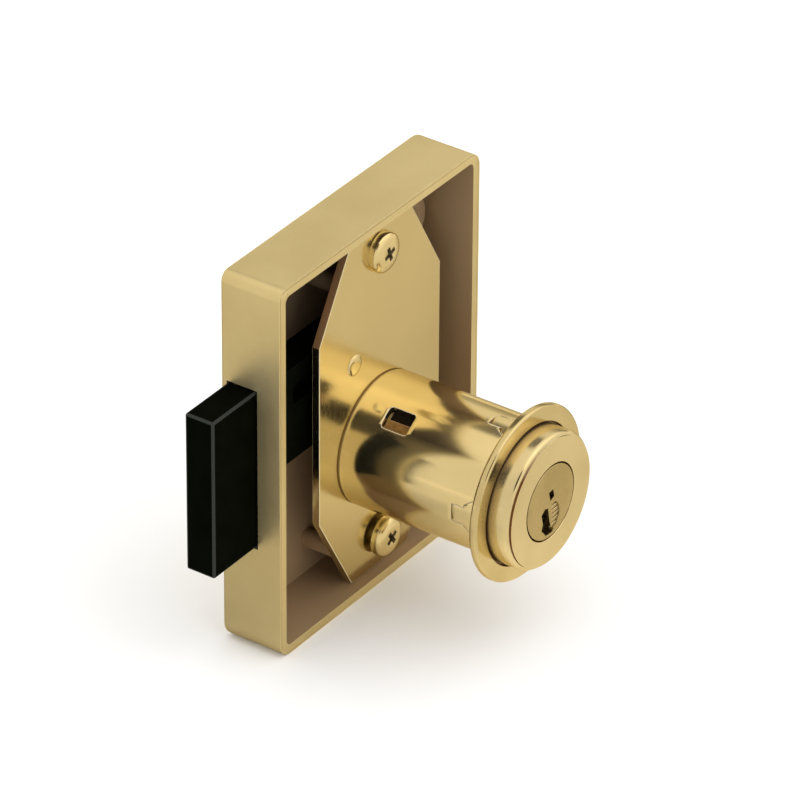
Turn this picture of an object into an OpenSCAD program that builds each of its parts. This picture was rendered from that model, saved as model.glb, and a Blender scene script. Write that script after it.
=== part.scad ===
// Furniture rim lock with a cylinder core and a sliding bolt
//
// The lock screws to the inside of a drawer or cupboard door. Its barrel passes through the panel.
// A quarter turn of the key swings a driver pin over the key axis, and the pin draws the bolt in.
//
// Frame, in millimetres: the origin lies on the key axis, in the plane of the case's open rim,
// which is the plane of the panel's inner face. +X points away from the bolt, -Y towards the key
// and +Z up.

/* [Case] */
// Width of the case across the bolt's travel
case_w = 45; // [44:0.5:60]
// Height of the case
case_h = 56.3; // [54:0.1:75]
// Depth of the case from its rim to its back
case_d = 9.4; // [9:0.1:13]
// Thickness of the case's side walls
case_wall = 1.4; // [1:0.1:1.8]
// Thickness of the case's back
case_floor = 1; // [0.8:0.1:1.4]
// Corner radius of the case's outline
case_corner_r = 2.4; // [1.6:0.1:3]
// Rounding of the edges round the case's back
case_back_r = 0.6; // [0.3:0.1:0.8]
// Backset, from the bolt side of the case to the key axis
backset = 24.7; // [24:0.1:26]
// Drop of the key axis below the middle of the case
axis_drop = 6.75; // [6:0.05:7.2]

/* [Case screw holes] */
// Distance between the case screw holes, both ways
case_screw_pitch = 34; // [33:0.5:35]
// Diameter of a case screw hole
case_screw_d = 4.2; // [3.4:0.1:4.4]
// Diameter of the countersink at the back
case_screw_sink_d = 6.6; // [6:0.1:7]
// Diameter of the pad round a case screw hole
case_pad_d = 7.4; // [7:0.1:7.8]
// Height of the pad above the case's inner floor
case_pad_h = 1; // [0.6:0.1:1.4]

/* [Cover plate] */
// Width of the cover plate
plate_w = 27.3; // [26:0.1:29]
// Thickness of the cover plate
plate_t = 1.2; // [0.8:0.1:1.3]
// Depth of the plate's front face below the rim
plate_inset = 1.6; // [1.4:0.1:1.8]
// Gap between the plate's ends and the case walls
plate_end_gap = 0.15; // [0.1:0.05:0.3]
// Width cut off the plate at each clipped corner
plate_clip_w = 7.35; // [6.5:0.05:8]
// Height cut off the plate at each clipped corner
plate_clip_h = 13; // [12:0.1:14]
// Distance of the plate screws from the key axis, sideways
plate_screw_x = 0; // [-0.6:0.1:0.6]
// Distance of the upper plate screw from the case's inner top
plate_screw_top = 4.9; // [4.3:0.1:5.7]
// Distance of the lower plate screw from the case's inner bottom
plate_screw_low = 4.8; // [4:0.1:5.2]
// Diameter of the bosses that the plate screws go into
plate_boss_d = 6.6; // [5.6:0.1:7]
// Diameter of the slim posts that hold the plate's corners
post_d = 2.6; // [2.2:0.1:3]
// Distance of the slim posts from the key axis, sideways
post_x = 7.2; // [7:0.1:7.6]
// Height of the upper slim posts above the key axis
post_up = 26.5; // [26:0.1:27]
// Depth of the lower slim posts below the key axis
post_down = 14.5; // [14:0.1:15]

/* [Plate screws] */
// Shank diameter of a plate screw
screw_d = 3.5; // [3:0.1:3.8]
// Head diameter of a plate screw
screw_head_d = 5.7; // [5.2:0.1:6.3]
// Head height of a plate screw
screw_head_h = 1.5; // [1.3:0.1:1.8]
// Length of a plate screw under its head
screw_len = 5.6; // [4.5:0.1:6]
// Gap left under the lower plate screw's head, which isn't run home
screw_stand = 0.8; // [0:0.1:1]
// Arm length of the cross recess, tip to tip
recess_l = 2.6; // [2.2:0.1:3]
// Arm width of the cross recess
recess_w = 0.75; // [0.6:0.05:0.9]
// Depth of the cross recess
recess_depth = 1.1; // [0.8:0.1:1.2]

/* [Barrel] */
// Inner diameter of the barrel sleeve
barrel_bore_d = 16.6; // [16.4:0.1:16.8]
// Thickness of the barrel sleeve's wall
barrel_wall = 1.2; // [1:0.05:1.4]
// Length of the sleeve in front of the rim, up to the rosette
sleeve_front = 19.7; // [19:0.1:20.5]
// Wall of the sleeve's foot, where it is swaged into the plate
foot_wall = 0.6; // [0.5:0.05:0.7]
// Width of the lip swaged over behind the plate
lip_w = 0.4; // [0.3:0.05:0.5]
// Thickness of the swaged lip
lip_t = 0.4; // [0.3:0.1:0.6]

/* [Rosette] */
// Distance from the rim to the rosette's front face
barrel_len = 22.2; // [21.8:0.1:24]
// Reach of the rosette's flange past the barrel's surface
rosette_reach = 2.8; // [2.4:0.1:3.5]
// Thickness of the rosette's flange
rosette_t = 1.2; // [1:0.1:1.3]
// Rounding of the rosette's edge
rosette_edge = 0.4; // [0.2:0.05:0.45]
// Depth of the recess that the core's head sits in
recess_seat = 0.7; // [0.5:0.1:0.9]
// Number of tongues that key the rosette to the sleeve
tongue_count = 4; // [4]
// Width of a tongue
tongue_w = 2.5; // [2:0.1:3]
// Reach of a tongue behind the sleeve's front edge
tongue_l = 3.3; // [3:0.1:4]
// Width of a tongue's shoulder at the sleeve's front edge
shoulder_w = 5.4; // [4.6:0.1:5.8]
// Width of a tongue's shoulder at its rear end
shoulder_rear_w = 3.4; // [3.1:0.1:3.8]
// Reach of a tongue's shoulder behind the sleeve's front edge
shoulder_l = 1.4; // [1:0.1:1.8]
// Gap between a tongue and its notch
tongue_gap = 0.12; // [0.08:0.02:0.2]

/* [Core] */
// Reach of the core's head past the barrel's surface
head_reach = 0.2; // [0:0.05:0.3]
// Height of the head in front of the rosette
head_proud = 3.4; // [2.9:0.05:3.9]
// Rounding of the head's front edge
head_edge = 1; // [0.7:0.05:1.2]
// Radial clearance of the core in the sleeve
core_gap = 0.05; // [0.03:0.01:0.1]
// Distance from the rim forward to the core's rear face
core_back = 0.8; // [0.7:0.1:1]
// Clearance of the head in the rosette's recess, all round
head_gap = 0.3; // [0.15:0.05:0.4]

/* [Key plug] */
// Diameter of the plug's face
plug_face_d = 10.7; // [10.5:0.05:10.8]
// Length of the plug's face collar
plug_face_l = 1.6; // [1.4:0.1:2]
// Gap round the plug's face
plug_face_gap = 0.2; // [0.1:0.05:0.25]
// Diameter of the plug's body
plug_d = 9.6; // [9.5:0.05:9.7]
// Radial running clearance of the plug in the core
plug_run = 0.05; // [0.03:0.01:0.08]
// Width of the key channel behind the face
key_channel_w = 2.4; // [2.2:0.1:2.6]
// Reach of the key channel above the key axis
key_channel_up = 1.6; // [1.4:0.1:1.8]
// Reach of the key channel below the key axis
key_channel_down = 4; // [3.8:0.05:4.05]
// Thickness of the wall that carries the shaped keyway
key_guard_t = 1.2; // [1:0.1:1.4]
// Depth of the ribbed recess beside the keyway
rib_depth = 0.5; // [0.4:0.05:0.7]
// Number of ribs in the recess
rib_count = 6; // [4:1:6]
// Distance from one rib to the next
rib_pitch = 0.68; // [0.6:0.02:0.7]
// Height of a rib
rib_h = 0.28; // [0.2:0.02:0.36]

/* [Wafers] */
// Number of wafers
wafer_count = 5; // [5]
// Distance from one wafer to the next
wafer_pitch = 2; // [1.9:0.05:2.1]
// Distance from the rim forward to the wafer nearest the bolt
wafer_first = 9; // [8.6:0.1:9.4]
// Thickness of a wafer
wafer_t = 0.9; // [0.7:0.05:0.95]
// Width of a wafer
wafer_w = 4.4; // [4.2:0.1:4.6]
// Clearance of a wafer in its slot, each way
wafer_gap = 0.05; // [0.03:0.01:0.08]
// Travel of a wafer out of the plug
wafer_travel = 0.75; // [0.5:0.05:0.8]
// Clearance of a wafer's end at full travel
wafer_end_gap = 0.3; // [0.2:0.05:0.4]
// Reach of a wafer's spring lug from the key axis
lug_reach = 3.8; // [3.7:0.05:3.9]
// Height of a wafer's spring lug
lug_h = 1; // [0.8:0.1:1.1]
// Outer diameter of a wafer spring
wafer_spring_d = 1; // [0.9:0.05:1.1]
// Reach of a wafer spring from the key axis, up or down
wafer_spring_end = 2.75; // [2.7:0.05:2.8]
// Wire diameter of the small coil springs
wire_d = 0.2; // [0.16:0.01:0.22]
// Coils of a wafer spring
wafer_spring_turns = 2.75; // [2.25:0.25:3]

/* [Core catch] */
// Angle of the catch round the barrel, from +X towards +Z
catch_angle = 125; // [122:1:128]
// Distance from the rim forward to the middle of the catch
catch_y = 5.15; // [5:0.05:5.4]
// Length of the catch window along the barrel
window_l = 4.1; // [3.8:0.1:4.3]
// Width of the catch window round the barrel
window_w = 3.2; // [3:0.1:3.4]
// Corner radius of the catch window
window_r = 0.5; // [0.3:0.05:0.6]
// Gap between the catch and the window
catch_window_gap = 0.2; // [0.15:0.05:0.25]
// Width of the step along the catch's face
catch_step_w = 1.4; // [1.1:0.05:1.6]
// Depth of the step in the catch's face
catch_step_h = 0.5; // [0.3:0.05:0.55]
// Depth of the catch's face below the barrel's surface
catch_sunk = 0.7; // [0.5:0.05:0.8]
// Travel of the catch when it is pressed in
catch_travel = 0.7; // [0.6:0.05:0.8]
// Gap left under the catch when it is pressed in
catch_stop_gap = 0.25; // [0.15:0.05:0.3]
// Depth of the catch's pocket in the core
pocket_depth = 2.2; // [2.15:0.05:2.25]
// Clearance of the catch in its pocket
pocket_gap = 0.05; // [0.03:0.01:0.08]
// Depth of the spring's hole in the catch
catch_hole_h = 1.05; // [0.9:0.05:1.15]
// Outer diameter of the catch's spring
catch_spring_d = 1.6; // [1.4:0.1:1.8]
// Coils of the catch's spring
catch_spring_turns = 2.5; // [2:0.25:2.5]

/* [Driver] */
// Metal left in the disc outside the driver pin's shank
driver_pin_wall = 0.6; // [0.55:0.05:0.9]
// Turn of the key
key_turn = 90; // [80:1:96]
// Diameter of the driver pin
driver_pin_d = 3; // [2.8:0.1:3.1]
// Diameter of the pin's riveted shank
driver_shank_d = 2; // [1.8:0.1:2.2]
// Gap round the driver disc in the sleeve
driver_gap = 0.2; // [0.15:0.05:0.25]
// Thickness of the driver disc
driver_t = 2; // [1.8:0.1:2.1]
// Width of the square tail that drives the disc
tail_w = 4.5; // [4.2:0.1:4.8]
// Clearance of the disc on the square tail
tail_gap = 0.05; // [0.03:0.01:0.08]
// Diameter of the stop pin
stop_d = 1.4; // [1.2:0.1:1.5]
// Metal left round the outside of the stop pin
stop_wall = 0.35; // [0.3:0.05:0.4]
// Angle of the stop pin, from +X towards +Z
stop_angle = 225; // [215:1:235]
// Clearance between the stop pin and its cut-out
stop_gap = 0.12; // [0.08:0.02:0.15]
// Gap between the plug's clip and the stop pin
clip_pin_gap = 0.3; // [0.2:0.05:0.5]
// Thickness of the plug's clip
clip_t = 0.5; // [0.4:0.05:0.5]
// Width of the clip's mouth
clip_mouth = 3; // [2.6:0.1:4]
// Diameter of the plug under the clip
clip_groove_d = 8.2; // [8:0.1:8.6]
// Shank diameter of the driver screw
driver_screw_d = 2.6; // [2.2:0.1:3]
// Head diameter of the driver screw
driver_screw_head_d = 5.2; // [4.8:0.1:5.6]
// Head height of the driver screw
driver_screw_head_h = 1.2; // [1:0.1:1.4]
// Length of the driver screw under its head
driver_screw_len = 5; // [4:0.1:6]
// Arm length of the driver screw's recess, tip to tip
driver_recess_l = 3; // [2.6:0.1:3.4]

/* [Bolt] */
// Height of the bolt's head
bolt_h = 23.8; // [23:0.1:24.2]
// Thickness of the bolt
bolt_t = 4.5; // [4:0.1:4.6]
// Clearance between the bolt and the case's floor
bolt_floor_gap = 0.1; // [0.05:0.05:0.15]
// Clearance between the bolt and its window, each way
bolt_window_gap = 0.25; // [0.15:0.05:0.3]
// Rounding of the bolt's edges
bolt_edge = 0.35; // [0.2:0.05:0.5]
// Length of full height that stays inside the case wall
bolt_shoulder = 4.8; // [4:0.1:5.2]
// Height of the tail's lower edge above the key axis
tail_low = 4.2; // [3.9:0.1:4.4]
// Reach of the bolt's tail past the key axis
tail_reach = 9; // [8.6:0.1:9.2]
// Gap round the driver pin in the bolt's notch
notch_gap = 0.35; // [0.3:0.05:0.4]
// Distance of the guide stud from the key axis, towards the bolt
stud_x = 5.8; // [5.6:0.1:6]
// Height of the guide stud above the key axis
stud_z = 14; // [13.6:0.1:14.4]
// Diameter of the guide stud
stud_d = 2.6; // [2.2:0.1:2.8]
// Diameter of the guide stud's neck in the plate
stud_neck_d = 2; // [1.6:0.1:2.1]
// Diameter of the stud's peened end
stud_peen_d = 3.1; // [2.7:0.1:3.4]
// Height of the stud's peened end in front of the plate
stud_proud = 0.35; // [0.25:0.05:0.45]
// Depth of the bolt's guide groove
groove_depth = 1.8; // [1.4:0.1:2]
// Clearance of the stud in its groove
groove_gap = 0.15; // [0.1:0.05:0.2]

/* [Bolt spring] */
// Thickness of the bolt's friction spring
leaf_t = 0.3; // [0.2:0.05:0.35]
// Width of the bolt's friction spring
leaf_w = 2.8; // [2.2:0.1:3]
// Radius of the post that holds the spring
leaf_post_r = 1.25; // [1:0.05:1.3]
// Distance of the spring's post from the key axis
leaf_post_x = 9; // [8.8:0.1:9.2]
// Height of the spring's post above the bolt's top edge
leaf_post_rise = 3.85; // [3.7:0.05:4]
// Gap between the spring and the bolt's top edge
leaf_gap = 0.05; // [0.03:0.01:0.1]

/* [Hidden] */

$fn = 64;
// Overlap that joins solids, and the reach of a cut past the face that it opens
eps = 0.01;
over = 1;
// Least gap between pieces that sit on each other
seat_gap = 0.05;
// Chamfer of the plug's face, and the turn of each screw's cross recess
plug_chamfer = 0.2;
plate_screw_turns = [70, 55];
driver_screw_turn = 20;
// Sides of the round wire of a coil, and the angle from one of its rings to the next
wire_sides = 6;
wire_step = 45;

// Case
case_x0 = -backset;
case_x1 = case_w - backset;
case_mid_x = (case_x0 + case_x1) / 2;
case_mid_z = axis_drop;
case_z0 = case_mid_z - case_h / 2;
case_z1 = case_mid_z + case_h / 2;
floor_y = case_d - case_floor;
inner_r = max(0.4, case_corner_r - case_wall);
inner_x0 = case_x0 + case_wall;

// Plate
plate_y0 = plate_inset;
plate_y1 = plate_inset + plate_t;
plate_h = case_h - 2 * case_wall - 2 * plate_end_gap;
plate_screw_places = [[plate_screw_x, case_z1 - case_wall - plate_screw_top],
    [plate_screw_x, case_z0 + case_wall + plate_screw_low]];
plate_screw_seats = [plate_y0, plate_y0 - screw_stand];
post_places = [for (x = [-post_x, post_x]) for (z = [post_up, -post_down]) [x, z]];

// Barrel, core and plug
bore_r = barrel_bore_d / 2;
barrel_r = bore_r + barrel_wall;
rosette_r = barrel_r + rosette_reach;
head_r = barrel_r + head_reach;
foot_r = bore_r + foot_wall;
lip_r = foot_r + lip_w;
core_r = bore_r - core_gap;
rosette_y = -barrel_len;
head_seat_y = rosette_y + recess_seat;
head_y = rosette_y - head_proud;
plug_bore_r = plug_d / 2 + plug_run;
face_bore_r = plug_face_d / 2 + plug_face_gap;
face_back_y = head_y + plug_face_l;
key_end_y = -wafer_first + wafer_pitch;
rib_sunk = 0.15;
rib_arc_place = [-0.2, -2.3];
rib_arc_r = 2.3;
rib_recess_x = [0.15, 2.15];
rib_recess_h = 4.4;
rib_top = -0.7;
wafer_y = [for (i = [0 : wafer_count - 1]) -wafer_first - i * wafer_pitch];
wafer_end_r = plug_d / 2 - wafer_gap * 2;
groove_r = wafer_end_r + wafer_travel + wafer_end_gap;
groove_half_w = wafer_w / 2 + wafer_gap * 2;
lug_play = wafer_travel + wafer_gap * 2;
wafer_spring_x = (wafer_w / 2 + wafer_gap + lug_reach) / 2;
window_top = key_channel_up - 0.3;
window_low = -key_channel_down + 0.5;

// Catch
catch_floor_r = core_r - pocket_depth;
catch_top_r = barrel_r - catch_sunk;
catch_low_r = catch_floor_r + catch_travel + catch_stop_gap;
catch_hole_r = catch_low_r + catch_hole_h;
catch_l = window_l - 2 * catch_window_gap;
catch_w = window_w - 2 * catch_window_gap;

// Driver
driver_d = barrel_bore_d - 2 * driver_gap;
driver_r = (driver_d - driver_shank_d) / 2 - driver_pin_wall;
stop_r = core_r - stop_wall - stop_d / 2;
stop_place = stop_r * [cos(stop_angle), sin(stop_angle)];
stop_hole_l = 2.5;
stop_short = 0.6;
swing = key_turn / 2;
bolt_throw = 2 * driver_r * sin(swing);
clip_d = 2 * (stop_r - clip_pin_gap) - stop_d;
clip_y0 = -core_back + seat_gap;
clip_y1 = clip_y0 + clip_t;
clip_groove_y1 = clip_y1 + seat_gap;
clip_rim_t = 0.4;
tail_y0 = clip_groove_y1 + clip_rim_t;
tail_y1 = tail_y0 + driver_t - 2 * seat_gap;
disc_y0 = tail_y0 + seat_gap;
disc_y1 = disc_y0 + driver_t;
pin_end_gap = 0.5;
driver_pin_x = -driver_r * sin(swing);
driver_pin_z = driver_r * cos(swing);

// Bolt
bolt_y1 = floor_y - bolt_floor_gap;
bolt_y0 = bolt_y1 - bolt_t;
bolt_nose_x = case_x0 - bolt_throw;
bolt_step_x = inner_x0 + bolt_shoulder;
bolt_z0 = case_mid_z - bolt_h / 2;
bolt_z1 = case_mid_z + bolt_h / 2;
notch_half_w = driver_pin_d / 2 + notch_gap;
notch_top = driver_r + driver_pin_d / 2 + notch_gap;
groove_y1 = bolt_y0 + groove_depth;
stud_y1 = groove_y1 - groove_gap;
tail_top = bolt_z1 - bolt_edge;
leaf_post_z = bolt_z1 + leaf_post_rise;
leaf_y0 = bolt_y0 + 0.4;

// Least gap between the turns of a coil, measured on the points of the wire's middle line
function coil_point(r, l, turns, a) = [r * cos(a), r * sin(a), l * a / (360 * turns)];
function coil_points(r, l, turns) = [for (a = [0 : wire_step : 360 * turns])
    coil_point(r, l, turns, a)];
function coil_gap(p) = min([for (i = [0 : len(p) - 1]) for (j = [i + 5 : 1 : len(p) - 1])
    norm(p[i] - p[j])]) - wire_d;

// Extrudes an outline drawn in X and Z from y0 to y1
module along_y(y0, y1) {
    translate([0, y1, 0]) rotate([90, 0, 0]) linear_extrude(y1 - y0) children();
}

// Turns an outline, drawn as radius and Y, about the key axis
module turned() {
    rotate([-90, 0, 0]) rotate_extrude() children();
}

// A round bar along Y, centred on a place given in X and Z
module rod(y0, y1, d, place = [0, 0]) {
    translate([place[0], y1, place[1]]) rotate([90, 0, 0]) cylinder(d = d, h = y1 - y0);
}

// A rectangle with round corners, centred on the origin
module round_rect(w, h, r) {
    square([w, h - 2 * r], center = true);
    square([w - 2 * r, h], center = true);
    for (x = [-1, 1]) for (y = [-1, 1])
        translate([x * (w / 2 - r), y * (h / 2 - r)]) circle(r);
}

// A block with its corners rounded as seen along each of the three axes
module soft_block(size, r) {
    intersection() {
        translate([0, 0, -size[2] / 2]) linear_extrude(size[2]) round_rect(size[0], size[1], r);
        along_y(-size[1] / 2, size[1] / 2) round_rect(size[0], size[2], r);
        rotate([0, 90, 0]) translate([0, 0, -size[0] / 2])
            linear_extrude(size[0]) round_rect(size[2], size[1], r);
    }
}

// One unbroken coil of round wire, standing on the origin along Z
module coil(d, l, turns) {
    s = wire_sides;
    p = coil_points((d - wire_d) / 2, l - wire_d, turns);
    n = len(p);
    rings = [for (i = [0 : n - 1]) for (k = [0 : s - 1])
        let (a = wire_step * i, b = 360 * k / s)
        p[i] + wire_d / 2 * (cos(b) * [cos(a), sin(a), 0] + sin(b) * [0, 0, 1])];
    walls = [for (i = [0 : n - 2]) for (k = [0 : s - 1])
        let (a = i * s + k, b = i * s + (k + 1) % s)
        each [[a, b, b + s], [a, b + s, a + s]]];
    first = [for (k = [1 : s - 2]) [0, k + 1, k]];
    last = [for (k = [1 : s - 2]) (n - 1) * s * [1, 1, 1] + [0, k, k + 1]];
    translate([0, 0, wire_d / 2]) polyhedron(points = rings, faces = concat(walls, first, last));
    echo("least coil gap", coil_gap(p));
}

// The round edge of a screw head, as points of radius and height
function dome(r, h, flat_r) = [for (a = [0 : 15 : 90])
    [flat_r + (r - flat_r) * cos(a), h * 0.3 + h * 0.7 * sin(a)]];

// A pan head screw with a cross recess, its head's seat at y and its shank towards +Y
module pan_screw(place, y, d, head_d, head_h, len, cross_l, turn) {
    translate([place[0], y, place[1]]) rotate([90, 0, 0]) rotate([0, 0, turn]) difference() {
        union() {
            rotate_extrude() polygon(concat([[0, 0], [head_d / 2, 0]],
                dome(head_d / 2, head_h, head_d * 0.3), [[0, head_h]]));
            translate([0, 0, -len]) cylinder(d = d, h = len + eps);
        }
        for (a = [0, 90]) rotate([0, 0, a]) translate([0, 0, head_h - recess_depth / 2 + eps])
            cube([cross_l, recess_w, recess_depth], center = true);
    }
}

// Die-cast tray, open to the panel, with a window for the bolt and bosses for the plate
module lock_case() {
    color("darkkhaki") difference() {
        union() {
            difference() {
                case_block();
                translate([case_mid_x, 0, case_mid_z]) along_y(-over, floor_y)
                    round_rect(case_w - 2 * case_wall, case_h - 2 * case_wall, inner_r);
            }
            for (p = plate_screw_places) rod(plate_y1, floor_y + eps, plate_boss_d, p);
            for (p = post_places) rod(plate_y1, floor_y + eps, post_d, p);
            for (p = case_screw_places()) rod(floor_y - case_pad_h, floor_y + eps, case_pad_d, p);
            rod(leaf_y0, floor_y + eps, 2 * leaf_post_r, [leaf_post_x, leaf_post_z]);
        }
        bolt_window();
        for (p = plate_screw_places) rod(plate_y1 - eps, plate_y0 + screw_len + 0.2, screw_d, p);
        for (p = case_screw_places()) {
            rod(0, case_d + over, case_screw_d, p);
            countersink(p);
        }
    }
}

function case_screw_places() = [for (x = [-0.5, 0.5]) for (z = [0.5, -0.5])
    [case_mid_x + x * case_screw_pitch, case_mid_z + z * case_screw_pitch]];

module case_block() {
    translate([case_mid_x, 0, case_mid_z]) intersection() {
        along_y(0, case_d) round_rect(case_w, case_h, case_corner_r);
        translate([0, 0, -case_h / 2]) linear_extrude(case_h) back_rounded(case_w);
        rotate([0, 90, 0]) translate([0, 0, -case_w / 2]) linear_extrude(case_w) back_rounded(case_h);
    }
}

// Outline of the case seen along an edge: square at the rim, rounded at the back
module back_rounded(w) {
    translate([-w / 2, 0]) square([w, case_d - case_back_r]);
    translate([-w / 2 + case_back_r, 0]) square([w - 2 * case_back_r, case_d]);
    for (x = [-1, 1]) translate([x * (w / 2 - case_back_r), case_d - case_back_r])
        circle(case_back_r);
}

module bolt_window() {
    translate([case_x0 - over, bolt_y0 - bolt_window_gap, bolt_z0 - bolt_window_gap])
        cube([case_wall + 2 * over, floor_y - bolt_y0 + bolt_window_gap,
            bolt_h + 2 * bolt_window_gap]);
}

module countersink(place) {
    sink = (case_screw_sink_d - case_screw_d) / 2;
    translate([place[0], case_d + eps, place[1]]) rotate([90, 0, 0])
        cylinder(d1 = case_screw_sink_d, d2 = case_screw_d, h = sink);
}

// Brass plate with clipped corners, which closes the tray and carries the barrel
module cover_plate() {
    color("gold") difference() {
        along_y(plate_y0, plate_y1) translate([0, case_mid_z]) plate_outline();
        rod(0, case_d, 2 * (foot_r + seat_gap));
        for (p = plate_screw_places) rod(0, case_d, screw_d + 0.3, p);
        rod(0, case_d, stud_neck_d + 2 * seat_gap, [-stud_x, stud_z]);
    }
}

module plate_outline() {
    w = plate_w / 2;
    h = plate_h / 2;
    cw = w - plate_clip_w;
    ch = h - plate_clip_h;
    polygon([[w, ch], [cw, h], [-cw, h], [-w, ch], [-w, -ch], [-cw, -h], [cw, -h], [w, -ch]]);
}

// Two pan head screws that hold the plate
module plate_screws() {
    color("goldenrod") for (i = [0, 1])
        pan_screw(plate_screw_places[i], plate_screw_seats[i], screw_d - 2 * seat_gap, screw_head_d,
            screw_head_h, screw_len, recess_l, plate_screw_turns[i]);
}

// Stud riveted in the plate, with its peened end in front and its guide end in the bolt's groove
module guide_stud() {
    place = [-stud_x, stud_z];
    color("khaki") {
        rod(plate_y1, stud_y1, stud_d, place);
        rod(plate_y0 - eps, plate_y1 + eps, stud_neck_d, place);
        translate([place[0], plate_y0, place[1]]) rotate([90, 0, 0])
            cylinder(d1 = stud_peen_d, d2 = stud_neck_d, h = stud_proud);
    }
}

// Tube pressed into the plate, with the catch window and the rosette's notches
module barrel_sleeve() {
    color("gold") difference() {
        turned() polygon([[bore_r, -sleeve_front], [barrel_r, -sleeve_front], [barrel_r, plate_y0],
            [foot_r, plate_y0], [foot_r, plate_y1], [lip_r, plate_y1],
            [lip_r, plate_y1 + lip_t], [bore_r, plate_y1 + lip_t]]);
        tongues(tongue_gap, over);
        at_catch() translate([0, 0, catch_low_r]) linear_extrude(barrel_r)
            round_rect(window_w, window_l, window_r);
    }
}

// Turns and shifts so that +Z points out of the barrel at the middle of the catch
module at_catch() {
    translate([0, -catch_y, 0]) rotate([0, 90 - catch_angle, 0]) children();
}

// The stepped tongues behind the rosette, grown by a gap, and run on past the sleeve's front edge
module tongues(gap, extra) {
    w = tongue_w / 2 + gap;
    rear = shoulder_rear_w / 2 + gap;
    front = shoulder_w / 2 + gap;
    half = [[w, tongue_l + gap], [w, shoulder_l + gap], [rear, shoulder_l + gap], [front, 0],
        [front, -extra]];
    other = [for (i = [len(half) - 1 : -1 : 0]) [-half[i][0], half[i][1]]];
    for (i = [0 : tongue_count - 1]) rotate([0, i * 360 / tongue_count, 0])
        translate([0, -sleeve_front, bore_r * cos(30)]) linear_extrude(barrel_r)
            polygon(concat(half, other));
}

// Flanged ring keyed to the sleeve's front edge, recessed for the core's head
module rosette() {
    back = rosette_y + rosette_t;
    collar_y = -sleeve_front - tongue_gap;
    e = rosette_edge;
    color("gold") {
        turned() polygon(concat([[bore_r, collar_y], [barrel_r, collar_y], [barrel_r, back]],
            arc_points([rosette_r - e, back - e], e, 90, 0),
            arc_points([rosette_r - e, rosette_y + e], e, 0, -90),
            [[head_r + head_gap, rosette_y], [head_r + head_gap, head_seat_y],
            [bore_r, head_seat_y]]));
        intersection() {
            tongues(0, tongue_gap + eps);
            turned() polygon([[bore_r, collar_y - eps], [barrel_r, collar_y - eps], [barrel_r, 0],
                [bore_r, 0]]);
        }
    }
}

function arc_points(c, r, a0, a1) = [for (i = [0 : 4]) let (a = a0 + (a1 - a0) * i / 4)
    c + r * [cos(a), sin(a)]];

// Die-cast core: a head that shows in front of the rosette and a body that carries the plug
module core_housing() {
    e = head_edge;
    color("khaki") difference() {
        turned() polygon(concat([[0, head_y]], arc_points([head_r - e, head_y + e], e, -90, 0),
            [[head_r, head_seat_y - seat_gap], [core_r, head_seat_y - seat_gap],
            [core_r, -core_back], [0, -core_back]]));
        turned() polygon([[0, head_y - over], [face_bore_r, head_y - over],
            [face_bore_r, face_back_y + seat_gap], [plug_bore_r, face_back_y + seat_gap],
            [plug_bore_r, 0], [0, 0]]);
        for (a = [0, 90]) rotate([0, a, 0]) wafer_grooves();
        at_catch() translate([0, 0, catch_floor_r]) linear_extrude(barrel_r)
            square([catch_w + 2 * pocket_gap, catch_l + 2 * pocket_gap], center = true);
        rod(-core_back - stop_hole_l, 0, stop_d, stop_place);
    }
}

// The pair of grooves that the wafers reach into, above and below the plug
module wafer_grooves() {
    y0 = wafer_y[wafer_count - 1] - wafer_t;
    y1 = wafer_y[0] + wafer_t;
    intersection() {
        rod(y0, y1, 2 * groove_r);
        translate([-groove_half_w, y0 - over, -groove_r])
            cube([2 * groove_half_w, y1 - y0 + 2 * over, 2 * groove_r]);
    }
}

// Pin pressed into the core's rear face, which stops the driver disc at each end of its turn
module stop_pin() {
    color("silver") rod(-core_back - stop_hole_l + seat_gap, disc_y1 - stop_short,
        stop_d - 2 * eps, stop_place);
}

// Sprung block that holds the core in the sleeve
module core_catch() {
    color("darkgoldenrod") at_catch() difference() {
        translate([0, 0, catch_low_r]) linear_extrude(catch_top_r - catch_low_r)
            square([catch_w, catch_l], center = true);
        translate([catch_w / 2 - catch_step_w, -catch_l, catch_top_r - catch_step_h])
            cube([catch_w, 2 * catch_l, over]);
        translate([0, 0, catch_low_r - over])
            cylinder(d = catch_spring_d + 4 * seat_gap, h = catch_hole_h + over);
    }
}

module core_catch_spring() {
    color("silver") at_catch() translate([0, 0, catch_floor_r])
        coil(catch_spring_d, catch_hole_r - seat_gap - catch_floor_r, catch_spring_turns);
}

// Turning plug with the keyway, the wafer slots and the square tail
module key_plug() {
    color("tan") difference() {
        union() {
            turned() polygon([[0, head_y], [plug_face_d / 2 - plug_chamfer, head_y],
                [plug_face_d / 2, head_y + plug_chamfer], [plug_face_d / 2, face_back_y],
                [plug_d / 2, face_back_y], [plug_d / 2, -core_back],
                [clip_groove_d / 2, -core_back], [clip_groove_d / 2, clip_groove_y1],
                [plug_d / 2, clip_groove_y1], [plug_d / 2, tail_y0], [0, tail_y0]]);
            translate([-tail_w / 2, tail_y0 - eps, -tail_w / 2])
                cube([tail_w, tail_y1 - tail_y0, tail_w]);
        }
        keyway();
        for (y = wafer_y) translate([0, y, 0]) wafer_slot();
        rod(tail_y0 - driver_screw_len, disc_y1, driver_screw_d);
    }
    color("tan") keyway_ribs();
}

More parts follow.
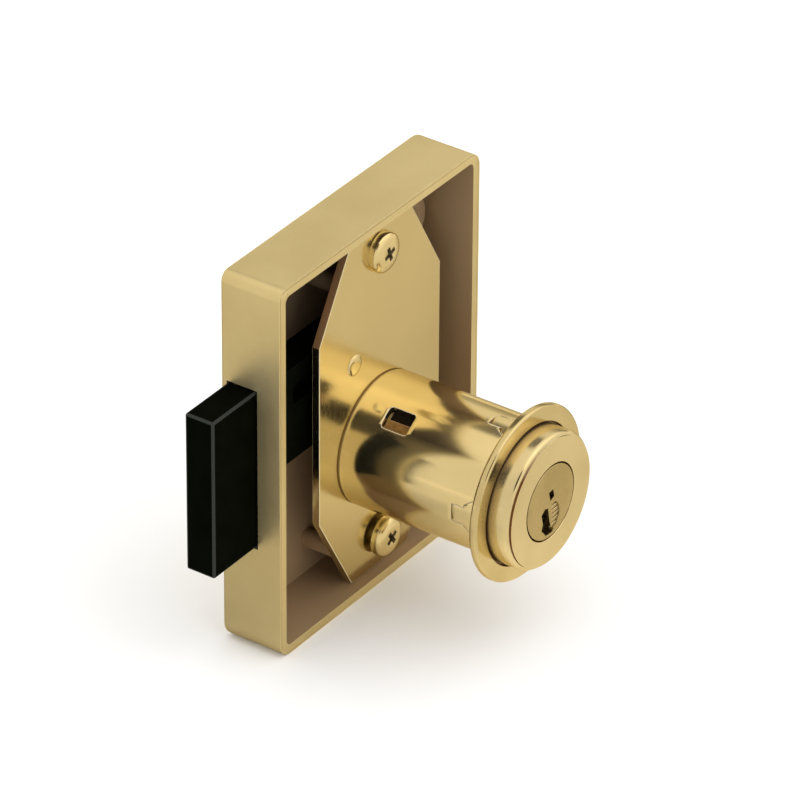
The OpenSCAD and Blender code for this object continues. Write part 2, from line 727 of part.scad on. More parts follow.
// The shaped opening in the face, and the plain channel behind it
module keyway() {
    along_y(head_y - over, head_y + key_guard_t + eps) {
        polygon([[-0.45, 1.6], [0.5, 1.75], [0.85, 0.5], [-0.1, 0.2]]);
        polygon([[-1.3, -0.45], [-0.55, -0.7], [-0.5, -1.3], [-0.25, -2.7], [0.1, -3.9],
            [0.9, -4.6], [0.4, -4.85], [-1, -4.75], [-2.05, -3.5], [-1.75, -2.6], [-2.1, -1.1]]);
    }
    along_y(head_y - over, head_y + rib_depth) rib_recess();
    translate([-key_channel_w / 2, head_y + key_guard_t, -key_channel_down])
        cube([key_channel_w, key_end_y - head_y - key_guard_t, key_channel_down + key_channel_up]);
}

// Shallow oval recess beside the keyway
module rib_recess() {
    intersection() {
        translate(rib_arc_place) circle(rib_arc_r);
        translate([rib_recess_x[0], rib_arc_place[1] - rib_recess_h / 2])
            square([rib_recess_x[1] - rib_recess_x[0], rib_recess_h]);
    }
}

// Low ribs across the recess beside the keyway
module keyway_ribs() {
    intersection() {
        along_y(head_y + rib_sunk, head_y + rib_depth + eps) for (i = [0 : rib_count - 1])
            translate([0, rib_top - i * rib_pitch]) square([rib_recess_x[1], rib_h]);
        along_y(head_y, head_y + rib_depth + eps) rib_recess();
    }
}

// Slot for one wafer, with room for its lug and its spring on the side
module wafer_slot() {
    t = wafer_t + 2 * wafer_gap;
    translate([-wafer_w / 2 - wafer_gap, -t / 2, -plug_d])
        cube([wafer_w + 2 * wafer_gap, t, 2 * plug_d]);
    translate([0, -t / 2, -lug_h / 2 - wafer_gap])
        cube([lug_reach + wafer_gap, t, lug_h + wafer_gap + lug_play]);
    translate([wafer_spring_x, 0, -wafer_spring_end])
        cylinder(d = wafer_spring_d + 2 * seat_gap, h = wafer_spring_end);
}

// One wafer: a sliding tumbler with a key window and a spring lug
module wafer(i) {
    color("burlywood") translate([0, wafer_y[i], 0]) difference() {
        intersection() {
            rod(-wafer_t / 2, wafer_t / 2, 2 * wafer_end_r);
            union() {
                translate([-wafer_w / 2, -wafer_t, -wafer_end_r])
                    cube([wafer_w, 2 * wafer_t, 2 * wafer_end_r]);
                translate([0, -wafer_t, -lug_h / 2]) cube([lug_reach, 2 * wafer_t, lug_h]);
            }
        }
        translate([-key_channel_w / 2 - wafer_gap, -wafer_t, window_low])
            cube([key_channel_w + 2 * wafer_gap, 2 * wafer_t, window_top - window_low]);
    }
}

module wafer_springs() {
    color("silver") for (y = wafer_y) translate([wafer_spring_x, y, -wafer_spring_end])
        coil(wafer_spring_d, wafer_spring_end - lug_h / 2 - wafer_gap, wafer_spring_turns);
}

// Open ring that keeps the plug from coming out forwards
module plug_clip() {
    color("dimgray") difference() {
        rod(clip_y0, clip_y1, clip_d);
        rod(clip_y0 - over, clip_y1 + over, clip_groove_d + 2 * seat_gap);
        translate([-clip_mouth / 2, clip_y0 - over, -clip_d])
            cube([clip_mouth, clip_t + 2 * over, clip_d]);
    }
}

// Disc on the plug's square tail, cut away where it sweeps past the stop pin
module driver_disc() {
    a = asin((stop_d / 2 + stop_gap) / stop_r);
    inner = stop_r - stop_d / 2 - stop_gap;
    hole = tail_w + 2 * tail_gap;
    color("slategray") difference() {
        rod(disc_y0, disc_y1, driver_d);
        translate([-hole / 2, disc_y0 - over, -hole / 2]) cube([hole, driver_t + 2 * over, hole]);
        rod(0, case_d, driver_shank_d, [driver_pin_x, driver_pin_z]);
        difference() {
            along_y(disc_y0 - over, disc_y1 + over) polygon(concat([[0, 0]], [for (k = [0 : 6])
                let (b = stop_angle - a + (key_turn + 2 * a) * k / 6) driver_d * [cos(b), sin(b)]]));
            rod(disc_y0 - 2 * over, disc_y1 + 2 * over, 2 * inner);
        }
    }
}

// Pin riveted in the disc, off the key axis, which moves the bolt
module driver_pin() {
    place = [driver_pin_x, driver_pin_z];
    color("silver") {
        rod(disc_y0 + seat_gap, disc_y1 + 2 * eps, driver_shank_d - 2 * eps, place);
        rod(disc_y1 + eps, floor_y - pin_end_gap, driver_pin_d, place);
    }
}

// Screw that holds the disc on the plug's tail
module driver_screw() {
    color("silver") translate([0, 2 * (disc_y1 + seat_gap / 2), 0]) mirror([0, 1, 0])
        pan_screw([0, 0], disc_y1 + seat_gap / 2, driver_screw_d - 2 * eps, driver_screw_head_d,
            driver_screw_head_h, driver_screw_len, driver_recess_l, driver_screw_turn);
}

// Black bolt: a full height head and a narrower tail with the notch and the guide groove
module bolt() {
    head_l = bolt_step_x - bolt_nose_x;
    mid_y = (bolt_y0 + bolt_y1) / 2;
    groove_half_h = stud_d / 2 + groove_gap;
    color("#141414") difference() {
        union() {
            translate([bolt_nose_x + head_l / 2, mid_y, case_mid_z])
                soft_block([head_l, bolt_t, bolt_h], bolt_edge);
            translate([bolt_step_x - 1, bolt_y0, tail_low])
                cube([tail_reach - bolt_step_x + 1, bolt_t, tail_top - tail_low]);
        }
        translate([driver_pin_x - notch_half_w, bolt_y0 - over, tail_low - over])
            cube([2 * notch_half_w, bolt_t + 2 * over, notch_top - tail_low + over]);
        translate([-stud_x - bolt_throw - groove_half_h, bolt_y0 - over, stud_z - groove_half_h])
            cube([bolt_throw + 2 * groove_half_h, groove_depth + over, 2 * groove_half_h]);
    }
}

// Thin strip that bears on the bolt's top edge and keeps it where the key leaves it
module bolt_spring() {
    r = leaf_post_r + leaf_gap + leaf_t / 2;
    leave = -70;
    c = [leaf_post_x, leaf_post_z];
    loop = [for (a = [150 : -10 : leave]) c + r * [cos(a), sin(a)]];
    heading = [sin(leave), -cos(leave)];
    start = loop[len(loop) - 1];
    bend_r = 2;
    touch_z = tail_top + leaf_gap + leaf_t / 2;
    fall = start[1] - touch_z - bend_r * (1 - cos(90 + leave));
    bend = start + heading * fall / -heading[1];
    bend_c = bend + bend_r * [heading[1], -heading[0]];
    tip = [for (a = [leave : -10 : leave - 70]) bend_c + bend_r * [cos(a), sin(a)]];
    path = concat(loop, tip);
    color("lightsteelblue") along_y(leaf_y0, leaf_y0 + leaf_w) band(path, leaf_t);
}

// A strip of even thickness along a path of points
module band(p, t) {
    n = len(p);
    dir = [for (i = [0 : n - 1]) let (d = p[min(i + 1, n - 1)] - p[max(i - 1, 0)]) d / norm(d)];
    side = [for (i = [0 : n - 1]) t / 2 * [-dir[i][1], dir[i][0]]];
    polygon(concat([for (i = [0 : n - 1]) p[i] + side[i]],
        [for (i = [n - 1 : -1 : 0]) p[i] - side[i]]));
}

lock_case();
cover_plate();
plate_screws();
guide_stud();
barrel_sleeve();
rosette();
core_housing();
stop_pin();
core_catch();
core_catch_spring();
key_plug();
plug_clip();
wafer(0);  // wafer_1
wafer(1);  // wafer_2
wafer(2);  // wafer_3
wafer(3);  // wafer_4
wafer(4);  // wafer_5
wafer_springs();
driver_disc();
driver_pin();
driver_screw();
bolt();
bolt_spring();
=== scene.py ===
import math

import bmesh
import bpy
from mathutils import Matrix, Vector


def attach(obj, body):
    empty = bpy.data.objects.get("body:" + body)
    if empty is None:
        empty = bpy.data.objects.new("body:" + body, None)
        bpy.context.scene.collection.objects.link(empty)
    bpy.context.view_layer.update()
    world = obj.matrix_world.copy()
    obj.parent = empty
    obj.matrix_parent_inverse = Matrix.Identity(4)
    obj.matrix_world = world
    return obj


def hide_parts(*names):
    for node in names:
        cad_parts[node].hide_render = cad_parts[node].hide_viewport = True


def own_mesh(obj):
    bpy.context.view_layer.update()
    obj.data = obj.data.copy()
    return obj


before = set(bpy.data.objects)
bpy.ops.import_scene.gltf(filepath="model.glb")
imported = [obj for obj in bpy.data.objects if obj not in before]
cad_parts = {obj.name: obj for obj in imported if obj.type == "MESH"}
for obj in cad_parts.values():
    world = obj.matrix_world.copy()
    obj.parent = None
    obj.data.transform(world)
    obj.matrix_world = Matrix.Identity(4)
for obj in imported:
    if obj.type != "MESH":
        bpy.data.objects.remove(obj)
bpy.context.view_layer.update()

# Case
# A die-cast zinc tray, brass plated with a satin grain. Its rim lies on the panel, its floor
# carries the bosses for the cover plate, slim posts and four pads for the case screws, and its
# left wall has the window that the bolt slides through.
MM = 0.001
CASE_X = (-24.7, 20.3)
CASE_Z = (-21.4, 34.9)
CASE_DEPTH = 9.4
CASE_FLOOR = 8.4
CASE_WALL = 1.4
CASE_CORNERS = (2.4, 1.6, 2.4, 2.4)
CAVITY_CORNER = 1.0
RIM_LINE = ((0, 0), (0.2, 0), (0.28, 0.055), (0.32, 0.055), (0.4, 0))
RIM_LINE_X, RIM_LINE_Z = (22, 22.35), (27.6, 28)
CASE_BACK_EDGE = 0.6
CASE_MID = (-2.2, 6.75)
PLATE_BACK = 2.8
PLATE_SCREWS = ((0, 28.6), (0, -15.2))
BOSS_R = 3.3
THREAD_R = 1.75
THREAD_Y = (2, 7.4)
POSTS = ((7.2, 26.5), (-7.2, 26.5), (7.2, -14.5), (-7.2, -14.5))
POST_R = 1.3
SPRING_POST = (9, 22.5)
SPRING_POST_R = 1.25
SPRING_POST_FRONT = 4.2
CASE_SCREW_REACH = 17
CASE_SCREW_R = 2.1
CASE_SCREW_SINK = (3.3, 8.2)
PAD_R, PAD_FRONT = 3.7, 7.4
BOLT_Y = (3.8, 8.3)
BOLT_Z = (-5.15, 18.65)
BOLT_GAP = 0.25


def solid(name, points, faces):
    """A closed mesh from points in millimetres, merged and turned to face outwards."""
    mesh = bpy.data.meshes.new(name)
    mesh.from_pydata([Vector(p) * MM for p in points], [], faces)
    bm = bmesh.new()
    bm.from_mesh(mesh)
    bmesh.ops.remove_doubles(bm, verts=bm.verts, dist=1e-7)
    bmesh.ops.recalc_face_normals(bm, faces=bm.faces)
    bm.to_mesh(mesh)
    bm.free()
    piece = bpy.data.objects.new(name, mesh)
    bpy.context.scene.collection.objects.link(piece)
    return piece


def loft(name, rings):
    """A solid through rings of as many points each, capped at both ends."""
    n = len(rings[0])
    points = [p for ring in rings for p in ring]
    faces = [tuple(range(n)), tuple((len(rings) - 1) * n + k for k in range(n))]
    for i in range(len(rings) - 1):
        for k in range(n):
            j = (k + 1) % n
            faces.append((i * n + k, i * n + j, (i + 1) * n + j, (i + 1) * n + k))
    return solid(name, points, faces)


def rounded(middle, width, height, radii, arc=10):
    """The outline of a rectangle with four round corners, as points in X and Z."""
    outline = []
    for turn, (sx, sz) in enumerate(((1, 1), (-1, 1), (-1, -1), (1, -1))):
        radius = radii[turn]
        cx = middle[0] + sx * (width / 2 - radius)
        cz = middle[1] + sz * (height / 2 - radius)
        for k in range(arc + 1):
            a = math.radians(90 * turn + 90 * k / arc)
            outline.append((cx + radius * math.cos(a), cz + radius * math.sin(a)))
    return outline


def slab(name, outline, y0, y1):
    """A solid with an outline drawn in X and Z, from y0 to y1."""
    return loft(name, [[(x, y, z) for x, z in outline] for y in (y0, y1)])


def box(name, x, y, z):
    """A rectangular solid between pairs of X, Y and Z."""
    return slab(name, [(x[0], z[0]), (x[1], z[0]), (x[1], z[1]), (x[0], z[1])], y[0], y[1])


def circle(place, r, y, sides):
    """Points round an axis along Y."""
    turns = [2 * math.pi * k / sides for k in range(sides)]
    return [(place[0] + r * math.cos(a), y, place[1] + r * math.sin(a)) for a in turns]


def bar(name, place, steps, sides=48):
    """A round solid about an axis along Y, through steps of radius and Y."""
    return loft(name, [circle(place, r, y, sides) for r, y in steps])


def settle(piece):
    """Turns the piece's modifiers into its mesh."""
    graph = bpy.context.evaluated_depsgraph_get()
    graph.update()
    made = bpy.data.meshes.new_from_object(piece.evaluated_get(graph))
    piece.modifiers.clear()
    piece.data = made
    return piece


def joined(name, pieces):
    """Several closed solids as one object."""
    bm = bmesh.new()
    for piece in pieces:
        bm.from_mesh(piece.data)
        bpy.data.objects.remove(piece)
    mesh = bpy.data.meshes.new(name)
    bm.to_mesh(mesh)
    bm.free()
    whole = bpy.data.objects.new(name, mesh)
    bpy.context.scene.collection.objects.link(whole)
    return whole


def carve(piece, tools, how="DIFFERENCE"):
    """Cuts tools away from the piece, or with UNION adds them to it."""
    tool = joined("tool", tools)
    step = piece.modifiers.new("carve", "BOOLEAN")
    step.operation = how
    step.solver = "EXACT"
    step.object = tool
    settle(piece)
    bpy.data.objects.remove(tool)
    return piece


MANY_CORNERS = 50
SHARP_TURN = math.radians(38)


def eased(piece, width, segments=2, share=None):
    """Rounds the sharp edges, keeps the flat faces flat and marks the strips for a lighter tone,
    which is partly wear and partly a painted highlight on the rounded edges.

    share gives, from an edge's middle in millimetres, the part of the width that the edge gets
    and how much of that tone its strip takes."""
    bm = bmesh.new()
    bm.from_mesh(piece.data)
    bmesh.ops.remove_doubles(bm, verts=bm.verts, dist=2e-6)
    bmesh.ops.triangulate(bm, faces=[face for face in bm.faces if len(face.verts) > MANY_CORNERS])
    weight = bm.edges.layers.float.new("bevel_weight_edge")
    for line in bm.edges:
        if len(line.link_faces) == 2 and line.calc_face_angle() > SHARP_TURN:
            middle = (line.verts[0].co + line.verts[1].co) / 2 / MM
            line[weight] = share(middle) if share else 1.0
    bm.to_mesh(piece.data)
    bm.free()
    edge = piece.modifiers.new("edge", "BEVEL")
    edge.width = width * MM
    edge.segments = segments
    edge.limit_method = "WEIGHT"
    edge.use_clamp_overlap = True
    edge.material = 1
    piece.data.materials.clear()
    piece.data.materials.append(None)
    piece.data.materials.append(None)
    settle(piece)
    strips = []
    for face in piece.data.polygons:
        wear_and_highlight = share(face.center / MM) if share else 1.0
        strips.append(wear_and_highlight if face.material_index else 0.0)
    edge_wear_and_highlight = piece.data.attributes.new("edge_wear_and_highlight", "FLOAT", "FACE")
    edge_wear_and_highlight.data.foreach_set("value", strips)
    piece.data.polygons.foreach_set("material_index", [0] * len(strips))
    piece.data.shade_smooth()
    shade = piece.modifiers.new("shade", "WEIGHTED_NORMAL")
    shade.weight = 80
    shade.keep_sharp = False
    return settle(piece)


def mark_shade_and_grime(piece, inside):
    """Marks the faces, by their middle in millimetres, that take a dull dark tone: painted shade in
    crevices and gaps, and in the case's tray tarnish as well.
    """
    shade_layer = piece.data.attributes.new("shade_and_grime", "FLOAT", "FACE")
    marks = [float(inside(face.center / MM)) for face in piece.data.polygons]
    shade_layer.data.foreach_set("value", marks)
    return piece


def fitted(piece, finish, body, nodes):
    """Gives the piece its finish and puts it in the place of CAD nodes."""
    piece.data.materials.clear()
    piece.data.materials.append(finish)
    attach(piece, body)
    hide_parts(*nodes)
    return piece


def add_node(tree, kind, values=None, **settings):
    """Adds a node with its settings and the values of its inputs."""
    node = tree.nodes.new(kind)
    for key, value in settings.items():
        setattr(node, key, value)
    for key, value in (values or {}).items():
        node.inputs[key].default_value = value
    return node


def ramp(tree, *stops):
    """Adds a colour ramp of two stops, each a position and a tone."""
    node = tree.nodes.new("ShaderNodeValToRGB")
    for element, (position, tone) in zip(node.color_ramp.elements, stops):
        element.position = position
        element.color = (*tone, 1)
    return node


EDGE_STRIP_ROUGHER, EDGE_STRIP_METALLIC = 0.25, 0.4
SHADE_AND_GRIME_ROUGHER, SHADE_AND_GRIME_METALLIC, SHADE_AND_GRIME_SHINE = 0.35, 0.2, 0.05
THICK_SHADE_AND_GRIME = 0.7


def metal(name, light, dark, cloud, rough, grain, relief, stretch=(1, 1, 1), wear_and_highlight=None,
        metallic=1.0, shade_and_grime_tone=(0.05, 0.036, 0.02), shine=0.5):
    """A metal whose tone drifts over clouds and whose grain roughens and dents it.

    cloud and grain are lengths in millimetres, rough a pair of roughnesses, relief the depth of
    the grain in thousandths of a millimetre, stretch the grain's scale along each axis,
    wear_and_highlight the lighter tone of the edge strips, which is partly wear and partly a
    painted highlight, shade_and_grime_tone the dull dark tone of the marked faces, a painted shade
    in most places, and shine the level of the shader's own highlights. The edge strips are rougher
    and less metallic, and so are the marked faces once the mark is thick."""
    finish = bpy.data.materials.new(name)
    finish.use_nodes = True
    tree = finish.node_tree
    link = tree.links.new
    shader = tree.nodes["Principled BSDF"]
    shader.inputs["Specular Tint"].default_value = (0.88, 0.8, 0.62, 1)
    place = add_node(tree, "ShaderNodeTexCoord")
    edges = add_node(tree, "ShaderNodeAttribute", attribute_name="edge_wear_and_highlight")
    shade_and_grime_amount = add_node(tree, "ShaderNodeAttribute", attribute_name="shade_and_grime")

    clouds = add_node(tree, "ShaderNodeTexNoise", {"Scale": 1000 / cloud, "Detail": 3})
    tone = ramp(tree, (0.36, dark), (0.64, light))
    if wear_and_highlight is None:
        wear_and_highlight = tuple(min(1.12 * c, 1) for c in light)
    # Edge strips take a lighter tone, partly for wear and partly as a painted highlight.
    wear_and_highlight_mix = add_node(tree, "ShaderNodeMixRGB", {"Color2": (*wear_and_highlight, 1)})
    # Marked faces take a dull dark tone: painted shade in crevices and gaps, tarnish as well in the
    # case's tray.
    soil = add_node(tree, "ShaderNodeMixRGB", {"Color2": (*shade_and_grime_tone, 1)}, name="soil")
    link(place.outputs["Object"], clouds.inputs["Vector"])
    link(clouds.outputs["Fac"], tone.inputs["Fac"])
    link(edges.outputs["Fac"], wear_and_highlight_mix.inputs["Fac"])
    link(tone.outputs["Color"], wear_and_highlight_mix.inputs["Color1"])
    link(shade_and_grime_amount.outputs["Fac"], soil.inputs["Fac"])
    link(wear_and_highlight_mix.outputs["Color"], soil.inputs["Color1"])
    link(soil.outputs["Color"], shader.inputs["Base Color"])

    drawn = add_node(tree, "ShaderNodeMapping", {"Scale": stretch})
    fine = add_node(tree, "ShaderNodeTexNoise",
        {"Scale": 1000 / grain, "Detail": 4, "Roughness": 0.6})
    spread = add_node(tree, "ShaderNodeMapRange",
        {"From Min": 0.3, "From Max": 0.7, "To Min": rough[0], "To Max": rough[1]})
    matt = add_node(tree, "ShaderNodeMapRange", {"To Max": EDGE_STRIP_ROUGHER})
    blunt = add_node(tree, "ShaderNodeMath", operation="ADD")
    dull = add_node(tree, "ShaderNodeMath", {1: SHADE_AND_GRIME_ROUGHER}, operation="MULTIPLY_ADD")
    dents = add_node(tree, "ShaderNodeBump", {"Strength": 1.0, "Distance": relief * 1e-6})
    link(place.outputs["Object"], drawn.inputs["Vector"])
    link(drawn.outputs["Vector"], fine.inputs["Vector"])
    link(fine.outputs["Fac"], spread.inputs["Value"])
    link(edges.outputs["Fac"], matt.inputs["Value"])
    link(matt.outputs["Result"], blunt.inputs[0])
    link(spread.outputs["Result"], blunt.inputs[1])
    link(shade_and_grime_amount.outputs["Fac"], dull.inputs[0])
    link(blunt.outputs["Value"], dull.inputs[2])
    link(dull.outputs["Value"], shader.inputs["Roughness"])
    link(fine.outputs["Fac"], dents.inputs["Height"])
    link(dents.outputs["Normal"], shader.inputs["Normal"])

    bare = add_node(tree, "ShaderNodeMapRange",
        {"From Min": THICK_SHADE_AND_GRIME, "To Min": metallic, "To Max": min(metallic, SHADE_AND_GRIME_METALLIC)})
    edge_strip_metal = add_node(tree, "ShaderNodeMapRange", {"To Min": 1, "To Max": EDGE_STRIP_METALLIC})
    clean = add_node(tree, "ShaderNodeMath", operation="MULTIPLY")
    gloss = add_node(tree, "ShaderNodeMapRange",
        {"From Min": THICK_SHADE_AND_GRIME, "To Min": shine, "To Max": min(shine, SHADE_AND_GRIME_SHINE)})
    link(shade_and_grime_amount.outputs["Fac"], bare.inputs["Value"])
    link(edges.outputs["Fac"], edge_strip_metal.inputs["Value"])
    link(bare.outputs["Result"], clean.inputs[0])
    link(edge_strip_metal.outputs["Result"], clean.inputs[1])
    link(clean.outputs["Value"], shader.inputs["Metallic"])
    link(shade_and_grime_amount.outputs["Fac"], gloss.inputs["Value"])
    link(gloss.outputs["Result"], shader.inputs["Specular IOR Level"])
    return finish


def case_ring(inset, y):
    """The case's outline at one Y, drawn in by an inset."""
    width = CASE_X[1] - CASE_X[0] - 2 * inset
    height = CASE_Z[1] - CASE_Z[0] - 2 * inset
    outline = rounded(CASE_MID, width, height, [r - inset for r in CASE_CORNERS])
    return [(x, y, z) for x, z in outline]


QUARTER_TURN = [math.radians(15 * k) for k in range(7)]
case_rings = [case_ring(inset, y) for inset, y in reversed(RIM_LINE)]
for a in QUARTER_TURN:
    inset = CASE_BACK_EDGE * (1 - math.cos(a))
    case_rings.append(case_ring(inset, CASE_DEPTH - CASE_BACK_EDGE * (1 - math.sin(a))))
case = loft("case", case_rings)
cavity = rounded(CASE_MID, CASE_X[1] - CASE_X[0] - 2 * CASE_WALL,
    CASE_Z[1] - CASE_Z[0] - 2 * CASE_WALL, [CAVITY_CORNER] * 4)
carve(case, [slab("cavity", cavity, -1, CASE_FLOOR)])
post_end = CASE_FLOOR + 0.4
posts = [bar("boss", place, [(BOSS_R, PLATE_BACK), (BOSS_R, post_end)]) for place in PLATE_SCREWS]
posts += [bar("post", place, [(POST_R, PLATE_BACK), (POST_R, post_end)], 32) for place in POSTS]
posts.append(bar("spring_post", SPRING_POST,
    [(SPRING_POST_R, SPRING_POST_FRONT), (SPRING_POST_R, post_end)], 32))
case_screw_places = [(CASE_MID[0] + sx * CASE_SCREW_REACH, CASE_MID[1] + sz * CASE_SCREW_REACH)
    for sx in (-1, 1) for sz in (-1, 1)]
posts += [bar("pad", place, [(PAD_R, PAD_FRONT), (PAD_R, post_end)]) for place in case_screw_places]
carve(case, posts, "UNION")
openings = [box("bolt_window", (-26, -23), (BOLT_Y[0] - BOLT_GAP, CASE_FLOOR),
    (BOLT_Z[0] - BOLT_GAP, BOLT_Z[1] + BOLT_GAP))]
openings += [bar("thread", place, [(THREAD_R, y) for y in THREAD_Y]) for place in PLATE_SCREWS]
screw_way = [(CASE_SCREW_R, 6), (CASE_SCREW_R, CASE_SCREW_SINK[1]),
    (CASE_SCREW_SINK[0], CASE_DEPTH), (CASE_SCREW_SINK[0], 10)]
openings += [bar("way", place, screw_way) for place in case_screw_places]
carve(case, openings)
eased(case, 0.16)


def case_shade_and_tarnish(middle):
    """Painted shade in the line round the rim, and inside the tray a dark tone that is partly
    tarnish on the as-cast faces and partly painted shade.
    """
    x, z = abs(middle.x - CASE_MID[0]), abs(middle.z - CASE_MID[1])
    if 0.01 < middle.y < 0.07 and x < RIM_LINE_X[1] and z < RIM_LINE_Z[1]:
        return 0.3 * (x > RIM_LINE_X[0] or z > RIM_LINE_Z[0])
    half_x = (CASE_X[1] - CASE_X[0]) / 2 - CASE_WALL + 0.01
    half_z = (CASE_Z[1] - CASE_Z[0]) / 2 - CASE_WALL + 0.01
    if x >= half_x or z >= half_z or not 0.3 < middle.y < CASE_FLOOR + 0.1:
        return 0
    return 0.5 if middle.x < CASE_X[0] + CASE_WALL + 0.01 else 1


mark_shade_and_grime(case, case_shade_and_tarnish)
satin_brass = metal("satin_brass", (0.73, 0.635, 0.38), (0.665, 0.57, 0.33), 14, (0.34, 0.5),
    0.3, 12, metallic=0.87)
# Inside the tray that tone darkens towards the upper left, a painted shade over the tarnish.
tree = satin_brass.node_tree
corner = add_node(tree, "ShaderNodeVectorMath", {1: (-1, 0, 1)}, operation="DOT_PRODUCT")
deep = add_node(tree, "ShaderNodeMapRange", {"From Min": 14 * MM, "From Max": 30 * MM})
tarnish_and_shade = ramp(tree, (0, (0.37, 0.255, 0.145)), (1, (0.13, 0.09, 0.055)))
tree.links.new(tree.nodes["Texture Coordinate"].outputs["Object"], corner.inputs[0])
tree.links.new(corner.outputs["Value"], deep.inputs["Value"])
tree.links.new(deep.outputs["Result"], tarnish_and_shade.inputs["Fac"])
tree.links.new(tarnish_and_shade.outputs["Color"], tree.nodes["soil"].inputs["Color2"])
fitted(case, satin_brass, "case", ["lock_case"])

# Cover plate
# A stamped brass plate that closes the tray. Its four corners are clipped so that the case
# screws can be reached, and two screws hold it on the bosses.
PLATE_HALF = 13.65
PLATE_CLIP = (7.35, 13)
PLATE_Z = (-19.85, 33.35)
PLATE_FRONT = 1.6
PLATE_BORE_R = 8.95
STUD = (-5.8, 14)
STUD_HOLE_R = 1.05
PLATE_SCREW_HOLE_R = 1.9
plate_outline = []
for sx, sz in ((1, 1), (-1, 1), (-1, -1), (1, -1)):
    end = PLATE_Z[1] if sz > 0 else PLATE_Z[0]
    side = (sx * PLATE_HALF, end - sz * PLATE_CLIP[1])
    top = (sx * (PLATE_HALF - PLATE_CLIP[0]), end)
    plate_outline += [side, top] if sx * sz > 0 else [top, side]
plate = slab("cover", plate_outline, PLATE_FRONT, PLATE_BACK)
hole_kinds = [((0, 0), PLATE_BORE_R, 96), (STUD, STUD_HOLE_R, 24)]
hole_kinds += [(place, PLATE_SCREW_HOLE_R, 32) for place in PLATE_SCREWS]
carve(plate, [bar("hole", place, [(r, 0), (r, 5)], sides) for place, r, sides in hole_kinds])
eased(plate, 0.1)


def cut_edge(middle):
    """A dull dark brown on the sheared face of the upper left clipped corner."""
    along = (middle.x + PLATE_HALF) / PLATE_CLIP[0]
    up = (middle.z - PLATE_Z[1] + PLATE_CLIP[1]) / PLATE_CLIP[1]
    return 0.9 * (middle.y > PLATE_FRONT + 0.1 and 0 < up < 1 and abs(along - up) < 0.02)


mark_shade_and_grime(plate, cut_edge)
plate_brass = metal("plate_brass", (0.72, 0.63, 0.4), (0.67, 0.58, 0.37), 22, (0.14, 0.24),
    0.5, 1.5, shade_and_grime_tone=(0.3, 0.14, 0.055))
fitted(plate, plate_brass, "case", ["cover_plate"])

# Guide stud
# A turned brass stud riveted in the plate. Its peened end makes a small pip in front, and its
# other end runs in the bolt's groove.
peened_end = [(0.4, 1.26), (0.8, 1.28), (1.1, 1.33), (1.35, 1.43), (1.5, 1.55),
    (1.5, PLATE_FRONT), (1.0, PLATE_FRONT)]
guide_end = [(1.0, PLATE_BACK), (1.3, PLATE_BACK), (1.3, 5.3), (1.15, 5.45)]
stud = bar("stud", STUD, peened_end + guide_end, 40)
screw_brass = metal("screw_brass", (0.82, 0.73, 0.48), (0.75, 0.66, 0.42), 3, (0.16, 0.26),
    0.3, 1.5, shade_and_grime_tone=(0.09, 0.062, 0.03))
eased(stud, 0.05)
fitted(stud, screw_brass, "case", ["guide_stud"])

# Plate screws
# Two pan head machine screws with a cross recess, brass plated steel. One screw is made and
# stands twice, at the plate's ends, turned as the driver left it. The lower one isn't run home.
SCREW_HEAD_R = 2.85
SCREW_HEAD_H = 1.5
SCREW_HEAD_SIDE = 0.7
SCREW_HEAD_FLAT_R = 1.3
SHANK_R = 1.7
SHANK_END = 7.1
RECESS_HALF = (1.12, 0.34)
RECESS_FLOOR = 1.2
LOW_SCREW_STAND = 0.6
SCREW_TURNS = (55, 15)
side_end = PLATE_FRONT - SCREW_HEAD_SIDE
head_steps = [(SHANK_R, SHANK_END), (SHANK_R, PLATE_FRONT), (SCREW_HEAD_R, PLATE_FRONT),
    (SCREW_HEAD_R, side_end)]
for a in QUARTER_TURN[1:]:
    head_steps.append((SCREW_HEAD_FLAT_R + (SCREW_HEAD_R - SCREW_HEAD_FLAT_R) * math.cos(a),
        side_end - (SCREW_HEAD_H - SCREW_HEAD_SIDE) * math.sin(a)))
screw = bar("screw", (0, 0), head_steps, 64)
for along, across in (RECESS_HALF, RECESS_HALF[::-1]):
    arm = rounded((0, 0), 2 * along, 2 * across, [0.1] * 4, 3)
    carve(screw, [slab("arm", arm, -1, RECESS_FLOOR)])
eased(screw, 0.07)


def screw_shade(middle):
    """Painted shade on the shank below the head and in the cross."""
    if middle.y > PLATE_FRONT - 0.01:
        return 0.4
    return 0.75 * (math.hypot(middle.x, middle.z) < 1.35 and middle.y > 0.25)


mark_shade_and_grime(screw, screw_shade)


def set_inputs(step, tree, values):
    """Sets a modifier's inputs by their sockets' identifiers."""
    for item in tree.interface.items_tree:
        if item.item_type == "SOCKET" and item.in_out == "INPUT" and item.name in values:
            step[item.identifier] = values[item.name]


screw_row = bpy.data.node_groups.new("screw_row", "GeometryNodeTree")
for label, kind in (("Screw", "Object"), ("First place", "Vector"), ("Spacing", "Vector"),
        ("First turn", "Float"), ("Turn step", "Float"), ("Finish", "Material")):
    screw_row.interface.new_socket(label, in_out="INPUT", socket_type="NodeSocket" + kind)
screw_row.interface.new_socket("Screws", in_out="OUTPUT", socket_type="NodeSocketGeometry")
given = add_node(screw_row, "NodeGroupInput")
result = add_node(screw_row, "NodeGroupOutput")
line = add_node(screw_row, "GeometryNodeMeshLine", {"Count": 2})
source = add_node(screw_row, "GeometryNodeObjectInfo")
index = add_node(screw_row, "GeometryNodeInputIndex")
turn = add_node(screw_row, "ShaderNodeMath", operation="MULTIPLY_ADD")
spin = add_node(screw_row, "ShaderNodeCombineXYZ")
stand = add_node(screw_row, "GeometryNodeInstanceOnPoints")
real = add_node(screw_row, "GeometryNodeRealizeInstances")
paint = add_node(screw_row, "GeometryNodeSetMaterial")
tie = screw_row.links.new
tie(given.outputs["First place"], line.inputs["Start Location"])
